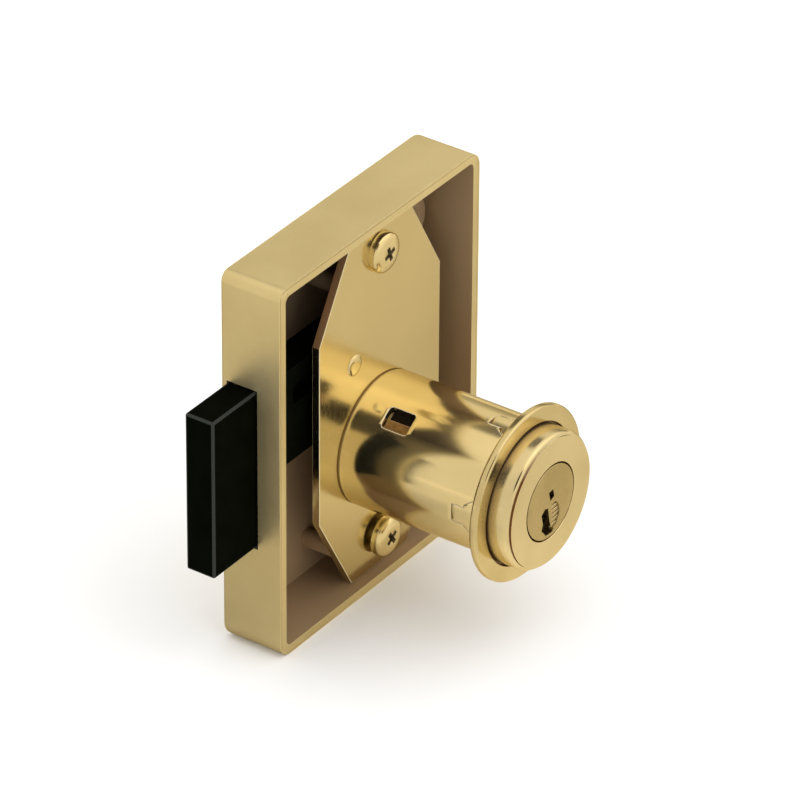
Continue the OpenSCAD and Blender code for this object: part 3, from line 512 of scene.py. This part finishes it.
tie(given.outputs["Spacing"], line.inputs["Offset"])
tie(given.outputs["Screw"], source.inputs["Object"])
tie(index.outputs["Index"], turn.inputs[0])
tie(given.outputs["Turn step"], turn.inputs[1])
tie(given.outputs["First turn"], turn.inputs[2])
tie(turn.outputs["Value"], spin.inputs["Y"])
tie(line.outputs["Mesh"], stand.inputs["Points"])
tie(source.outputs["Geometry"], stand.inputs["Instance"])
tie(spin.outputs["Vector"], stand.inputs["Rotation"])
tie(stand.outputs["Instances"], real.inputs["Geometry"])
tie(real.outputs["Geometry"], paint.inputs["Geometry"])
tie(given.outputs["Finish"], paint.inputs["Material"])
tie(paint.outputs["Geometry"], result.inputs["Screws"])
screws = bpy.data.objects.new("cover_screws", bpy.data.meshes.new("cover_screws"))
bpy.context.scene.collection.objects.link(screws)
row = screws.modifiers.new("row", "NODES")
row.node_group = screw_row
set_inputs(row, screw_row, {"Screw": screw,
    "First place": (0, -LOW_SCREW_STAND * MM, PLATE_SCREWS[1][1] * MM),
    "Spacing": (0, LOW_SCREW_STAND * MM, (PLATE_SCREWS[0][1] - PLATE_SCREWS[1][1]) * MM),
    "First turn": math.radians(SCREW_TURNS[0]), "Turn step": math.radians(SCREW_TURNS[1]),
    "Finish": screw_brass})
settle(screws)
bpy.data.objects.remove(screw)
fitted(screws, screw_brass, "case", ["plate_screws"])

# Barrel sleeve
# A polished brass tube swaged into the plate. Its front edge has four stepped notches for the
# rosette's tongues, and near the plate it has the window of the core's catch.
BARREL_R = 9.5
BORE_R = 8.3
SLEEVE_FRONT = -19.7
SLEEVE_BACK = 1.38
FOOT_R = 8.9
SEAM_FLOOR = (9.36, 1.3)
LIP = (9.3, 3.2)
ROW_STEP = 0.7
STRIP_DEGREES = 2
NOTCH = {"tongue": 1.25, "shoulder_rear": 1.7, "shoulder_front": 2.7, "tongue_l": 3.3,
    "shoulder_l": 1.4, "gap": 0.05}
WINDOW = {"angle": 125, "middle": -5.15, "half_l": 2.05, "half_w": 1.6, "corner": 0.5}


def turned(name, profile, sides=144):
    """A closed profile of radius and Y, turned about the key axis."""
    points = [p for r, y in profile for p in circle((0, 0), r, y, sides)]
    faces = []
    for i in range(len(profile)):
        j = (i + 1) % len(profile)
        if profile[i][0] == 0 and profile[j][0] == 0:
            continue
        for k in range(sides):
            m = (k + 1) % sides
            faces.append((i * sides + k, i * sides + m, j * sides + m, j * sides + k))
    return solid(name, points, faces)


def wide(half_width):
    """The angle that a half width takes on the barrel's surface, in degrees."""
    return math.degrees(math.asin(half_width / BARREL_R))


def shoulder_edge(y, gap):
    """Half the angle of a tongue's shoulder at a distance behind the sleeve's front edge."""
    share = min(max((y - SLEEVE_FRONT) / (NOTCH["shoulder_l"] + gap), 0), 1)
    front, rear = NOTCH["shoulder_front"] + gap, NOTCH["shoulder_rear"] + gap
    return wide(front + (rear - front) * share)


def window_edge(y):
    """Half the angle of the window, with its round corners."""
    past = abs(y - WINDOW["middle"]) - (WINDOW["half_l"] - WINDOW["corner"])
    past = min(max(past, 0), WINDOW["corner"])
    return wide(WINDOW["half_w"] - WINDOW["corner"] + math.sqrt(WINDOW["corner"] ** 2 - past ** 2))


def barrel_columns(gap):
    """Edges round the barrel as functions of Y, each with the kind of strip that follows it."""
    edges = []
    for centre in (0, 90, 180, 270):
        edges.append((centre, -1, "shoulder", lambda y: shoulder_edge(y, gap)))
        edges.append((centre, -1, "tongue", lambda y: wide(NOTCH["tongue"] + gap)))
        edges.append((centre, 1, "shoulder", lambda y: wide(NOTCH["tongue"] + gap)))
        edges.append((centre, 1, "wall", lambda y: shoulder_edge(y, gap)))
        if centre == 90:
            edges.append((WINDOW["angle"], -1, "window", window_edge))
            edges.append((WINDOW["angle"], 1, "wall", window_edge))
    return edges


def spaced(stops, most):
    """Stops with even steps between them, none longer than most."""
    out = [stops[0]]
    for a, b in zip(stops, stops[1:]):
        n = max(1, math.ceil((b - a) / most - 1e-9))
        out += [a + (b - a) * k / n for k in range(1, n + 1)]
    return out


def barrel_wall(name, rows, gap, kept):
    """A wall on the barrel's cylinder, made only where kept(kind of strip, y) says so."""
    edges = barrel_columns(gap)
    strips = []
    for k, (centre, side, kind, half) in enumerate(edges):
        nxt = edges[(k + 1) % len(edges)]
        lap = 360 if k == len(edges) - 1 else 0
        width = nxt[0] + lap + nxt[1] * nxt[3](0) - centre - side * half(0)
        n = max(1, math.ceil(width / STRIP_DEGREES))
        for i in range(n):
            strips.append((k, i / n, kind))
    columns = len(strips)

    def angle(column, y):
        k, share, _ = strips[column % columns]
        centre, side, _, half = edges[k]
        nxt = edges[(k + 1) % len(edges)]
        lap = 360 if k == len(edges) - 1 else 0
        a = centre + side * half(y)
        b = nxt[0] + lap + nxt[1] * nxt[3](y)
        return math.radians(a + (b - a) * share)

    points = []
    for r in (BARREL_R, BORE_R):
        for y in rows:
            for c in range(columns):
                points.append((r * math.cos(angle(c, y)), y, r * math.sin(angle(c, y))))
    layer = len(rows) * columns
    live = [[kept(strips[c][2], (low + high) / 2) for c in range(columns)]
        for low, high in zip(rows, rows[1:])]
    faces = []
    for i in range(len(rows) - 1):
        for c in range(columns):
            if not live[i][c]:
                continue
            d = (c + 1) % columns
            a, b = i * columns + c, i * columns + d
            e, f = b + columns, a + columns
            faces += [(a, b, e, f), (a + layer, f + layer, e + layer, b + layer)]
            beside = ((i - 1, c, a, b), (i + 1, c, e, f), (i, c - 1, f, a), (i, d, b, e))
            for ni, nc, p, q in beside:
                if not (0 <= ni < len(rows) - 1) or not live[ni][nc % columns]:
                    faces.append((p, q, q + layer, p + layer))
    used = sorted({v for face in faces for v in face})
    new = {v: k for k, v in enumerate(used)}
    return solid(name, [points[v] for v in used], [tuple(new[v] for v in face) for face in faces])


def sleeve_has(kind, y):
    """Whether the sleeve's wall is there: its notches and its window are open."""
    behind = y - SLEEVE_FRONT
    if kind == "tongue":
        return behind > NOTCH["tongue_l"] + NOTCH["gap"]
    if kind == "shoulder":
        return behind > NOTCH["shoulder_l"] + NOTCH["gap"]
    if kind == "window":
        return abs(y - WINDOW["middle"]) > WINDOW["half_l"]
    return True


arc_rows = [WINDOW["half_l"] - WINDOW["corner"] * (1 - math.sin(math.radians(18 * k)))
    for k in range(6)]
window_rows = [WINDOW["middle"] + s * r for s in (-1, 1) for r in arc_rows]
sleeve_rows = spaced(sorted([SLEEVE_FRONT, SLEEVE_FRONT + NOTCH["shoulder_l"] + NOTCH["gap"],
    SLEEVE_FRONT + NOTCH["tongue_l"] + NOTCH["gap"], SLEEVE_BACK] + window_rows), ROW_STEP)
tube = barrel_wall("tube", sleeve_rows, NOTCH["gap"], sleeve_has)


def tube_share(middle):
    """Full rounding and the full lighter strip, partly a painted highlight, at the window; less at
    the foot and the notches.
    """
    return 1.0 if abs(middle.y - WINDOW["middle"]) < 2.4 else 0.4


eased(tube, 0.16, share=tube_share)
foot = turned("foot", [(BORE_R, SEAM_FLOOR[1]), SEAM_FLOOR, (SEAM_FLOOR[0], PLATE_FRONT),
    (FOOT_R, PLATE_FRONT), (FOOT_R, PLATE_BACK), (LIP[0], PLATE_BACK), LIP, (BORE_R, LIP[1])])
# The foot's faces in the seam in front of the plate take the dull dark tone, a painted shade in the
# groove.
mark_shade_and_grime(foot, lambda middle: 0.8 * (middle.y < PLATE_FRONT))
tube = joined("sleeve", [tube, foot])
# Its edge strips are near white, partly wear and partly a painted highlight round the window.
polished_brass = metal("polished_brass", (0.84, 0.75, 0.51), (0.79, 0.7, 0.46), 9, (0.07, 0.18),
    0.2, 1.4, (1, 5, 1), wear_and_highlight=(1, 0.95, 0.78), metallic=0.99, shade_and_grime_tone=(0.25, 0.16, 0.08))
fitted(tube, polished_brass, "case", ["barrel_sleeve"])

# Rosette
# A turned and polished brass ring in front of the sleeve. Four stepped tongues behind it sit in
# the sleeve's notches, and the core's head lies in the recess of its face.
ROSETTE_R = 12.3
ROSETTE_FRONT = -22.2
ROSETTE_BACK = -21.0
ROSETTE_EDGE = 0.4
SEAT_R = 10.0
SEAT_FLOOR = -21.5
SEAT_EDGE = 0.08
COLLAR_FRONT = -21.2


def curve(middle, radius, start, stop, steps=6):
    """Points on an arc, its angles measured from the first axis towards the second."""
    turns = [math.radians(start + (stop - start) * k / steps) for k in range(steps + 1)]
    return [(middle[0] + radius * math.cos(a), middle[1] + radius * math.sin(a)) for a in turns]


outer_r = ROSETTE_R - ROSETTE_EDGE
flange = turned("flange",
    [(BORE_R, SEAT_FLOOR), (SEAT_R - 0.02, SEAT_FLOOR), (SEAT_R, SEAT_FLOOR - 0.02)]
    + curve((SEAT_R + SEAT_EDGE, ROSETTE_FRONT + SEAT_EDGE), SEAT_EDGE, 180, 270, 3)
    + curve((outer_r, ROSETTE_FRONT + ROSETTE_EDGE), ROSETTE_EDGE, 270, 360)
    + curve((outer_r, ROSETTE_BACK - ROSETTE_EDGE), ROSETTE_EDGE, 0, 90)
    + [(BORE_R, ROSETTE_BACK)])


def collar_has(kind, y):
    """Whether the collar's wall is there: only its tongues reach behind the sleeve's front edge."""
    behind = y - SLEEVE_FRONT
    if behind < -NOTCH["gap"]:
        return True
    if kind == "tongue":
        return behind < NOTCH["tongue_l"]
    if kind == "shoulder":
        return behind < NOTCH["shoulder_l"]
    return False


def seat_shade(middle):
    """Painted shade in the recess that the core's head lies in."""
    in_depth = ROSETTE_FRONT + 0.1 < middle.y < COLLAR_FRONT
    return 0.8 * (math.hypot(middle.x, middle.z) < SEAT_R + 0.05 and in_depth)


collar_rows = spaced([COLLAR_FRONT, SLEEVE_FRONT - NOTCH["gap"], SLEEVE_FRONT,
    SLEEVE_FRONT + NOTCH["shoulder_l"], SLEEVE_FRONT + NOTCH["tongue_l"]], ROW_STEP)
collar = barrel_wall("collar", collar_rows, 0, collar_has)
eased(collar, 0.06)
eased(flange, 0.05)
rosette = joined("ring", [flange, collar])
mark_shade_and_grime(rosette, seat_shade)
rosette_brass = metal("rosette_brass", (0.7, 0.62, 0.41), (0.63, 0.55, 0.35), 8, (0.1, 0.18),
    0.2, 0.8, shade_and_grime_tone=(0.2, 0.11, 0.055))
fitted(rosette, rosette_brass, "case", ["rosette"])
# The tongues' outsides were polished together with the barrel.
rosette.data.materials.append(polished_brass)
for face in rosette.data.polygons:
    middle = face.center / MM
    if math.hypot(middle.x, middle.z) < BARREL_R + 0.1 and middle.y > ROSETTE_BACK:
        face.material_index = 1

# Core
# A die-cast brass core, polished on its head. The head lies in the rosette's recess, and the
# body fills the sleeve, bored for the plug and grooved for the wafers and the catch.
HEAD_FRONT = -25.6
HEAD_BACK = -21.55
HEAD_R = 9.7
HEAD_ROUND = 1
FACE_R = 9.15
FACE_STEP = 0.3
FACE_EDGE = 0.04
ROOT_RINGS = [-23.6 + 0.2 * k for k in range(10)]
CORE_R = 8.25
CORE_BACK = -0.8
PLUG_BORE_R = 4.85
PLUG_SEAT = (5.55, -23.95)
MOUTH_EDGE = 0.12
WAFER_WAY_Y = (-17.9, -8.1)
WAFER_WAY_HALF = (5.85, 2.3)
ROOT_SHADE = (-23.4, 1.9)
POCKET_HALF = (1.45, 1.9)
POCKET_Z = (6.05, 9)
CATCH_TILT = math.radians(90 - WINDOW["angle"])
core = turned("core", [(PLUG_BORE_R, CORE_BACK), (PLUG_BORE_R, PLUG_SEAT[1]), PLUG_SEAT]
    + curve((PLUG_SEAT[0] + MOUTH_EDGE, HEAD_FRONT + MOUTH_EDGE), MOUTH_EDGE, 180, 270, 3)
    + curve((FACE_R - FACE_EDGE, HEAD_FRONT + FACE_EDGE), FACE_EDGE, 270, 360, 3)
    + [(FACE_R, HEAD_FRONT + FACE_STEP)]
    + [(HEAD_R - (HEAD_R - FACE_R) * (1 - math.sin(a)),
        HEAD_FRONT + HEAD_ROUND - (HEAD_ROUND - FACE_STEP) * math.cos(a)) for a in QUARTER_TURN]
    + [(HEAD_R, y) for y in ROOT_RINGS]
    + [(HEAD_R, HEAD_BACK), (CORE_R, HEAD_BACK), (CORE_R, CORE_BACK)])
for half_z, half_x in (WAFER_WAY_HALF, WAFER_WAY_HALF[::-1]):
    carve(core, [box("groove", (-half_x, half_x), WAFER_WAY_Y, (-half_z, half_z))])


def at_catch(piece):
    """Turns a piece made about +Z into the catch's place, pointing out of the barrel."""
    tilt = Matrix.Rotation(CATCH_TILT, 4, "Y")
    piece.data.transform(Matrix.Translation((0, WINDOW["middle"] * MM, 0)) @ tilt)
    return piece


carve(core, [at_catch(box("pocket", (-POCKET_HALF[0], POCKET_HALF[0]),
    (-POCKET_HALF[1], POCKET_HALF[1]), POCKET_Z))])
eased(core, 0.06)


def head_shade(middle):
    """How much painted shade lies at the face's step, most on its left, in the bore round the plug
    and at the head's root.
    """
    r = math.hypot(middle.x, middle.z)
    if middle.y < HEAD_FRONT + FACE_STEP + 0.02 and FACE_R - 0.01 < r < FACE_R + 0.03:
        return min(max(0.5 - 1.2 * (middle.x + 0.45 * middle.z) / r, 0), 1)
    if r < PLUG_SEAT[0] + 0.01:
        return float(middle.y > HEAD_FRONT + 0.1)
    return min(max((middle.y - ROOT_SHADE[0]) / ROOT_SHADE[1], 0), 0.6)


mark_shade_and_grime(core, head_shade)
head_brass = metal("head_brass", (0.79, 0.715, 0.51), (0.72, 0.645, 0.45), 7, (0.12, 0.22), 0.25, 1,
    shade_and_grime_tone=(0.13, 0.05, 0.014))
fitted(core, head_brass, "case", ["core_housing"])

# Core catch
# A small brass block in the sleeve's window, pushed out by a coil spring, which keeps the core
# in the sleeve until it is pressed in.
CATCH_HALF = (1.4, 1.85)
CATCH_SPAN = (7.0, 8.8)
CATCH_STEP = 8.3
SPRING_HOLE_HALF = 0.9
catch = box("catch", (-CATCH_HALF[0], CATCH_HALF[0]), (-CATCH_HALF[1], CATCH_HALF[1]), CATCH_SPAN)
across_hole = (-SPRING_HOLE_HALF, SPRING_HOLE_HALF)
carve(catch, [box("step", (0, 3), (-3, 3), (CATCH_STEP, 9.5)),
    box("spring_hole", across_hole, across_hole, (6.5, 8.05))])
eased(catch, 0.1, 3)
# The stepped half and the lower faces of the catch are marked near black, and its brass is a dark
# brown: painted shade deep in the window.
mark_shade_and_grime(catch, lambda middle: middle.x > -0.01 or middle.z < 8)
at_catch(catch)
shaded_catch_brass = metal("shaded_catch_brass", (0.34, 0.225, 0.125), (0.2, 0.13, 0.07), 1.2, (0.2, 0.36),
    0.2, 3, shade_and_grime_tone=(0.012, 0.009, 0.005))
fitted(catch, shaded_catch_brass, "core_catch", ["core_catch"])

# Catch spring
# A small coil of blued spring steel between the floor of the core's pocket and the hole in the
# catch. It is pressed together as the catch goes in.
WIRE_R = 0.1
COIL_R = 0.7
COIL_TURNS = 2.5
COIL_STEPS = 60
COIL_LOW, COIL_HIGH = POCKET_Z[0], 8.0
wire_rings = []
for k in range(COIL_STEPS + 1):
    a = 2 * math.pi * COIL_TURNS * k / COIL_STEPS
    height = COIL_LOW + WIRE_R + (COIL_HIGH - COIL_LOW - 2 * WIRE_R) * k / COIL_STEPS
    wire_rings.append([(r * math.cos(a), r * math.sin(a), z)
        for r, _, z in circle((COIL_R, height), WIRE_R, 0, 8)])
catch_coil = at_catch(loft("catch_coil", wire_rings))
catch_coil.data.shade_smooth()
blued = metal("blued", (0.3, 0.31, 0.34), (0.2, 0.21, 0.24), 2, (0.2, 0.3), 0.1, 1)
fitted(catch_coil, blued, "case", ["core_catch_spring"])
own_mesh(catch_coil)

# Key plug
# The turning brass plug: its face with the shaped keyway and the ribbed recess beside it, the
# slots for the wafers, the neck for its clip and the square tail for the driver disc.
PLUG_FLAT_R = 5.2
PLUG_FACE_R = 5.35
PLUG_FACE_BACK = -24.0
PLUG_R = 4.8
PLUG_EDGE = 0.1
NECK_R = 4.1
NECK_BACK = -0.2
PLUG_BACK = 0.2
TAIL_HALF = 2.25
TAIL_BACK = 2.1
WAY_FLOOR = -24.35
UPPER_WAY = [(-0.45, 1.6), (0.5, 1.75), (0.85, 0.5), (-0.1, 0.2)]
LOWER_WAY = [(-1.3, -0.45), (-0.55, -0.7), (-0.5, -1.3), (-0.25, -2.7), (0.1, -3.9), (0.9, -4.6),
    (0.4, -4.85), (-1, -4.75), (-2.05, -3.5), (-1.75, -2.6), (-2.1, -1.1)]
CHANNEL = ((-1.2, 1.2), (-24.4, -7), (-4, 1.6))
WAFER_Y = (-9, -11, -13, -15, -17)
SLOT_HALF = 0.5
SLOT_X = (-2.25, 2.25)
LUG_X, LUG_Z = (0, 3.85), (-0.55, 1.35)
SCREW_HOLE = (1.3, -4.8)
RECESS_MID = (-0.2, -2.3)
RECESS_R = 2.3
RIB_DEPTH = 0.3
RIB_TOP = -0.7
RIB_PITCH = 0.68
RIB_H = 0.44
plug = turned("plug", [(0, HEAD_FRONT), (PLUG_FLAT_R, HEAD_FRONT)]
    + curve((PLUG_FACE_R - PLUG_EDGE, HEAD_FRONT + PLUG_EDGE), PLUG_EDGE, 290, 360, 4)
    + [(PLUG_FACE_R, PLUG_FACE_BACK), (PLUG_R, PLUG_FACE_BACK), (PLUG_R, CORE_BACK),
        (NECK_R, CORE_BACK), (NECK_R, NECK_BACK), (PLUG_R, NECK_BACK), (PLUG_R, PLUG_BACK),
        (0, PLUG_BACK)], 96)
square = (-TAIL_HALF, TAIL_HALF)
carve(plug, [box("tail", square, (0, TAIL_BACK), square)], "UNION")
for outline in (UPPER_WAY, LOWER_WAY):
    carve(plug, [slab("way", outline, -27, WAY_FLOOR)])
recess_outline = [(max(x, 0.15), min(max(z, -4.5), -0.1))
    for x, z in curve(RECESS_MID, RECESS_R, -78, 78, 24)]
carve(plug, [slab("recess", recess_outline, -27, HEAD_FRONT + RIB_DEPTH)])
carve(plug, [box("channel", *CHANNEL)])
carve(plug, [box("slot", SLOT_X, (y - SLOT_HALF, y + SLOT_HALF), (-9, 9)) for y in WAFER_Y])
carve(plug, [box("lug", LUG_X, (y - SLOT_HALF, y + SLOT_HALF), LUG_Z) for y in WAFER_Y])
carve(plug, [bar("screw_hole", (0, 0), [SCREW_HOLE, (SCREW_HOLE[0], 4)], 32)])
eased(plug, 0.06)


def plug_shade(middle):
    """Painted shade deep in the keyway, and round the plug behind its face."""
    outside = math.hypot(middle.x, middle.z) > PLUG_FACE_R - 0.01
    return middle.y > HEAD_FRONT + 0.55 or (outside and middle.y > HEAD_FRONT + 0.11)


mark_shade_and_grime(plug, plug_shade)
ribs = []
for k in range(6):
    low = RIB_TOP - k * RIB_PITCH
    rim = RECESS_MID[0] + math.sqrt(RECESS_R ** 2 - (low + 0.14 - RECESS_MID[1]) ** 2)
    ribs.append(box("rib", (0.1, rim + 0.05), (HEAD_FRONT + 0.13, HEAD_FRONT + 0.4),
        (low, low + RIB_H)))
rib_set = joined("ribs", ribs)
eased(rib_set, 0.06)
plug = joined("plug_face", [plug, rib_set])
plug_brass = metal("plug_brass", (0.54, 0.46, 0.285), (0.48, 0.405, 0.24), 3, (0.18, 0.3), 0.2, 1.5)
fitted(plug, plug_brass, "plug", ["key_plug"])

# Bolt
# A sintered steel bolt, blackened: a full height nose that stands out of the case, and a tail
# with the notch for the driver pin and the groove for the guide stud.
NOSE_X = -33.892
NOSE_BACK_X = -18.5
TAIL_X = 9
TAIL_Z = (4.2, 18.3)
PIN_NOTCH_X = (-6.446, -2.746)
PIN_NOTCH_TOP = 8.35
GUIDE_GROOVE = ((-16.44, -4.35), (3, 5.6), (12.55, 15.45))
bolt_outline = [(NOSE_X, BOLT_Z[0]), (NOSE_BACK_X, BOLT_Z[0]), (NOSE_BACK_X, TAIL_Z[0]),
    (PIN_NOTCH_X[0], TAIL_Z[0]), (PIN_NOTCH_X[0], PIN_NOTCH_TOP),
    (PIN_NOTCH_X[1], PIN_NOTCH_TOP), (PIN_NOTCH_X[1], TAIL_Z[0]), (TAIL_X, TAIL_Z[0]),
    (TAIL_X, TAIL_Z[1]), (NOSE_BACK_X, TAIL_Z[1]), (NOSE_BACK_X, BOLT_Z[1]), (NOSE_X, BOLT_Z[1])]
bolt = slab("bolt_body", bolt_outline, BOLT_Y[0], BOLT_Y[1])
carve(bolt, [box("groove", *GUIDE_GROOVE)])
eased(bolt, 0.32, 4, share=lambda middle: 1.0 if middle.x < CASE_X[0] else 0.1)
black_bolt = metal("black_bolt", (0.0022, 0.003, 0.0016), (0.0014, 0.0019, 0.001), 4, (0.3, 0.45),
    0.3, 3, wear_and_highlight=(0.035, 0.037, 0.033), metallic=0.0, shine=0.004)
fitted(bolt, black_bolt, "bolt", ["bolt"])

# Wafers
# Five stamped brass tumblers in the plug's slots. They lie flush with the plug, as a key holds
# them, and keep the shape of their CAD solids.


def dressed(nodes, finish):
    """Gives CAD solids a finish and leaves their shape."""
    for node in nodes:
        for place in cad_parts[node].material_slots:
            place.material = finish


wafer_brass = metal("wafer_brass", (0.7, 0.56, 0.28), (0.62, 0.48, 0.22), 2, (0.2, 0.35), 0.15, 1.5)
dressed([f"wafer_{k}" for k in range(1, 6)], wafer_brass)

# Driver
# The steel disc on the plug's tail with its riveted pin and its screw, and the pin that stops
# it, bright zinc plated. They keep the shape of their CAD solids.
zinc = metal("zinc", (0.62, 0.63, 0.64), (0.52, 0.53, 0.55), 3, (0.22, 0.38), 0.2, 2)
dressed(["driver_disc", "driver_pin", "driver_screw", "stop_pin"], zinc)

# Springs and clip
# Blued spring steel: the coils of the wafers, the bolt's friction strip and the clip in the
# plug's neck. They keep the shape of their CAD solids.
dressed(["wafer_springs", "bolt_spring", "plug_clip"], blued)

# Floor
# A plain white sheet, which lies flat under the lock's lower edge. The metal mirrors a painted
# reflection of it, warmer and darker, whose painted shade changes round the lock and is darkest
# beside the bolt.
FLOOR_REACH = 2.5
floor_mesh = bpy.data.meshes.new("floor")
floor_mesh.from_pydata([(sx * FLOOR_REACH, sy * FLOOR_REACH, 0)
    for sx, sy in ((-1, -1), (1, -1), (1, 1), (-1, 1))], [], [(0, 1, 2, 3)])
floor = bpy.data.objects.new("floor", floor_mesh)
floor.location = (0, 0, CASE_Z[0] * MM)
bpy.context.scene.collection.objects.link(floor)
paper = bpy.data.materials.new("paper")
paper.use_nodes = True
tree = paper.node_tree
tie = tree.links.new
sheet = tree.nodes["Principled BSDF"]
sheet.inputs["Roughness"].default_value = 0.9
sheet.inputs["Specular IOR Level"].default_value = 0.1
spot = add_node(tree, "ShaderNodeTexCoord").outputs["Object"]
ray = add_node(tree, "ShaderNodeLightPath")
fibre = add_node(tree, "ShaderNodeTexNoise", {"Scale": 60})
fibre_tone = ramp(tree, (0, (0.9, 0.9, 0.9)), (1, (0.93, 0.93, 0.93)))
away = add_node(tree, "ShaderNodeVectorMath", operation="LENGTH")
front_tone = ramp(tree, (0.02, (1, 0.86, 0.57)), (0.05, (0.66, 0.56, 0.365)))
rear_tone = ramp(tree, (0.06, (0.34, 0.29, 0.195)), (0.3, (0.8, 0.675, 0.43)))
rearward = add_node(tree, "ShaderNodeVectorMath", {1: (0.45, 1, 0)}, operation="DOT_PRODUCT")
behind = add_node(tree, "ShaderNodeMapRange", {"From Min": -0.02, "From Max": 0.035})
painted_reflection = add_node(tree, "ShaderNodeMixRGB")
beside = add_node(tree, "ShaderNodeVectorMath", {1: (-0.03, 0.009, 0)}, operation="DISTANCE")
shadow_falloff = add_node(tree, "ShaderNodeMapRange",
    {"From Min": 0.004, "From Max": 0.03, "To Min": 0.6, "To Max": 1})
painted_shadow = add_node(tree, "ShaderNodeMixRGB", {"Fac": 1}, blend_type="MULTIPLY")
seen = add_node(tree, "ShaderNodeMixRGB")
tie(spot, fibre.inputs["Vector"])
tie(fibre.outputs["Fac"], fibre_tone.inputs["Fac"])
tie(spot, away.inputs[0])
tie(away.outputs["Value"], front_tone.inputs["Fac"])
tie(away.outputs["Value"], rear_tone.inputs["Fac"])
tie(spot, rearward.inputs[0])
tie(rearward.outputs["Value"], behind.inputs["Value"])
tie(behind.outputs["Result"], painted_reflection.inputs["Fac"])
tie(front_tone.outputs["Color"], painted_reflection.inputs["Color1"])
tie(rear_tone.outputs["Color"], painted_reflection.inputs["Color2"])
tie(spot, beside.inputs[0])
tie(beside.outputs["Value"], shadow_falloff.inputs["Value"])
tie(painted_reflection.outputs["Color"], painted_shadow.inputs["Color1"])
tie(shadow_falloff.outputs["Result"], painted_shadow.inputs["Color2"])
# Glossy rays see the painted reflection and shadow, other rays the plain white sheet.
tie(ray.outputs["Is Glossy Ray"], seen.inputs["Fac"])
tie(fibre_tone.outputs["Color"], seen.inputs["Color1"])
tie(painted_shadow.outputs["Color"], seen.inputs["Color2"])
tie(seen.outputs["Color"], sheet.inputs["Base Color"])
floor.data.materials.append(paper)

# Light
# A white tent all round, which the metal mirrors in a warmer tone. It is brighter up in front and
# up behind on the left, and darker in three places: a card on the right, one up behind on the
# right, and the opening for the camera.
world = bpy.data.worlds.new("tent")
world.use_nodes = True
bpy.context.scene.world = world
tent = world.node_tree
backdrop = tent.nodes["Background"]
backdrop.inputs["Strength"].default_value = 1.2
sky_way = add_node(tent, "ShaderNodeTexCoord").outputs["Generated"]
tent_ray = add_node(tent, "ShaderNodeLightPath")
tone_so_far = add_node(tent, "ShaderNodeMixRGB",
    {"Color1": (1, 1, 1, 1), "Color2": (0.73, 0.62, 0.41, 1)})
tent.links.new(tent_ray.outputs["Is Glossy Ray"], tone_so_far.inputs["Fac"])


def patch(before, azimuth, elevation, inner, outer, tone):
    """Lays a round patch of another tone on the tent, its edge soft between two angles.

    The azimuth is counted from the back of the lock towards its right, in degrees."""
    turn, rise = math.radians(azimuth), math.radians(elevation)
    middle = (math.sin(turn) * math.cos(rise), math.cos(turn) * math.cos(rise), math.sin(rise))
    way = add_node(tent, "ShaderNodeVectorMath", {1: middle}, operation="DOT_PRODUCT")
    edge = add_node(tent, "ShaderNodeMapRange", {"From Min": math.cos(math.radians(outer)),
        "From Max": math.cos(math.radians(inner)), "To Min": 1, "To Max": tone},
        interpolation_type="SMOOTHSTEP")
    laid = add_node(tent, "ShaderNodeMixRGB", {"Fac": 1}, blend_type="MULTIPLY")
    tent.links.new(sky_way, way.inputs[0])
    tent.links.new(way.outputs["Value"], edge.inputs["Value"])
    tent.links.new(edge.outputs["Result"], laid.inputs["Color2"])
    tent.links.new(before.outputs["Color"], laid.inputs["Color1"])
    return laid


PATCHES = ((-13, 60, 12, 35, 1.15), (180, 61, 6, 30, 1.4), (130, 38, 10, 35, 1.25),
    (78, 0, 10, 28, 0.36), (43, 48, 8, 16.5, 0.22), (160, 45, 25, 70, 1.25),
    (-129, 43.5, 14.5, 18.5, 0.03))
for measures in PATCHES:
    tone_so_far = patch(tone_so_far, *measures)
tent.links.new(tone_so_far.outputs["Color"], backdrop.inputs["Color"])

# Camera
# A long lens to the left of the key side and above it, as the photograph was taken. Its place
# was fitted to the edges in the photograph.
CAMERA_AIM = Vector((-0.46, -1.93, 7.25)) * MM
CAMERA_AWAY = 915.3 * MM
azimuth, elevation, roll = math.radians(-55.215), math.radians(32.211), math.radians(0.405)
back = Vector((math.sin(azimuth) * math.cos(elevation), -math.cos(azimuth) * math.cos(elevation),
    math.sin(elevation)))
right = Vector((math.cos(azimuth), math.sin(azimuth), 0))
up = back.cross(right)
level = right * math.cos(roll) + up * math.sin(roll)
upright = up * math.cos(roll) - right * math.sin(roll)
camera = bpy.data.objects.new("camera", bpy.data.cameras.new("camera"))
camera.data.lens = 314.24
camera.data.sensor_width = 36
stand_at = CAMERA_AIM + back * CAMERA_AWAY
camera.matrix_world = Matrix((
    (level.x, upright.x, back.x, stand_at.x),
    (level.y, upright.y, back.y, stand_at.y),
    (level.z, upright.z, back.z, stand_at.z),
    (0, 0, 0, 1)))
bpy.context.scene.collection.objects.link(camera)
bpy.context.scene.camera = camera
bpy.context.scene.view_settings.view_transform = "Standard"
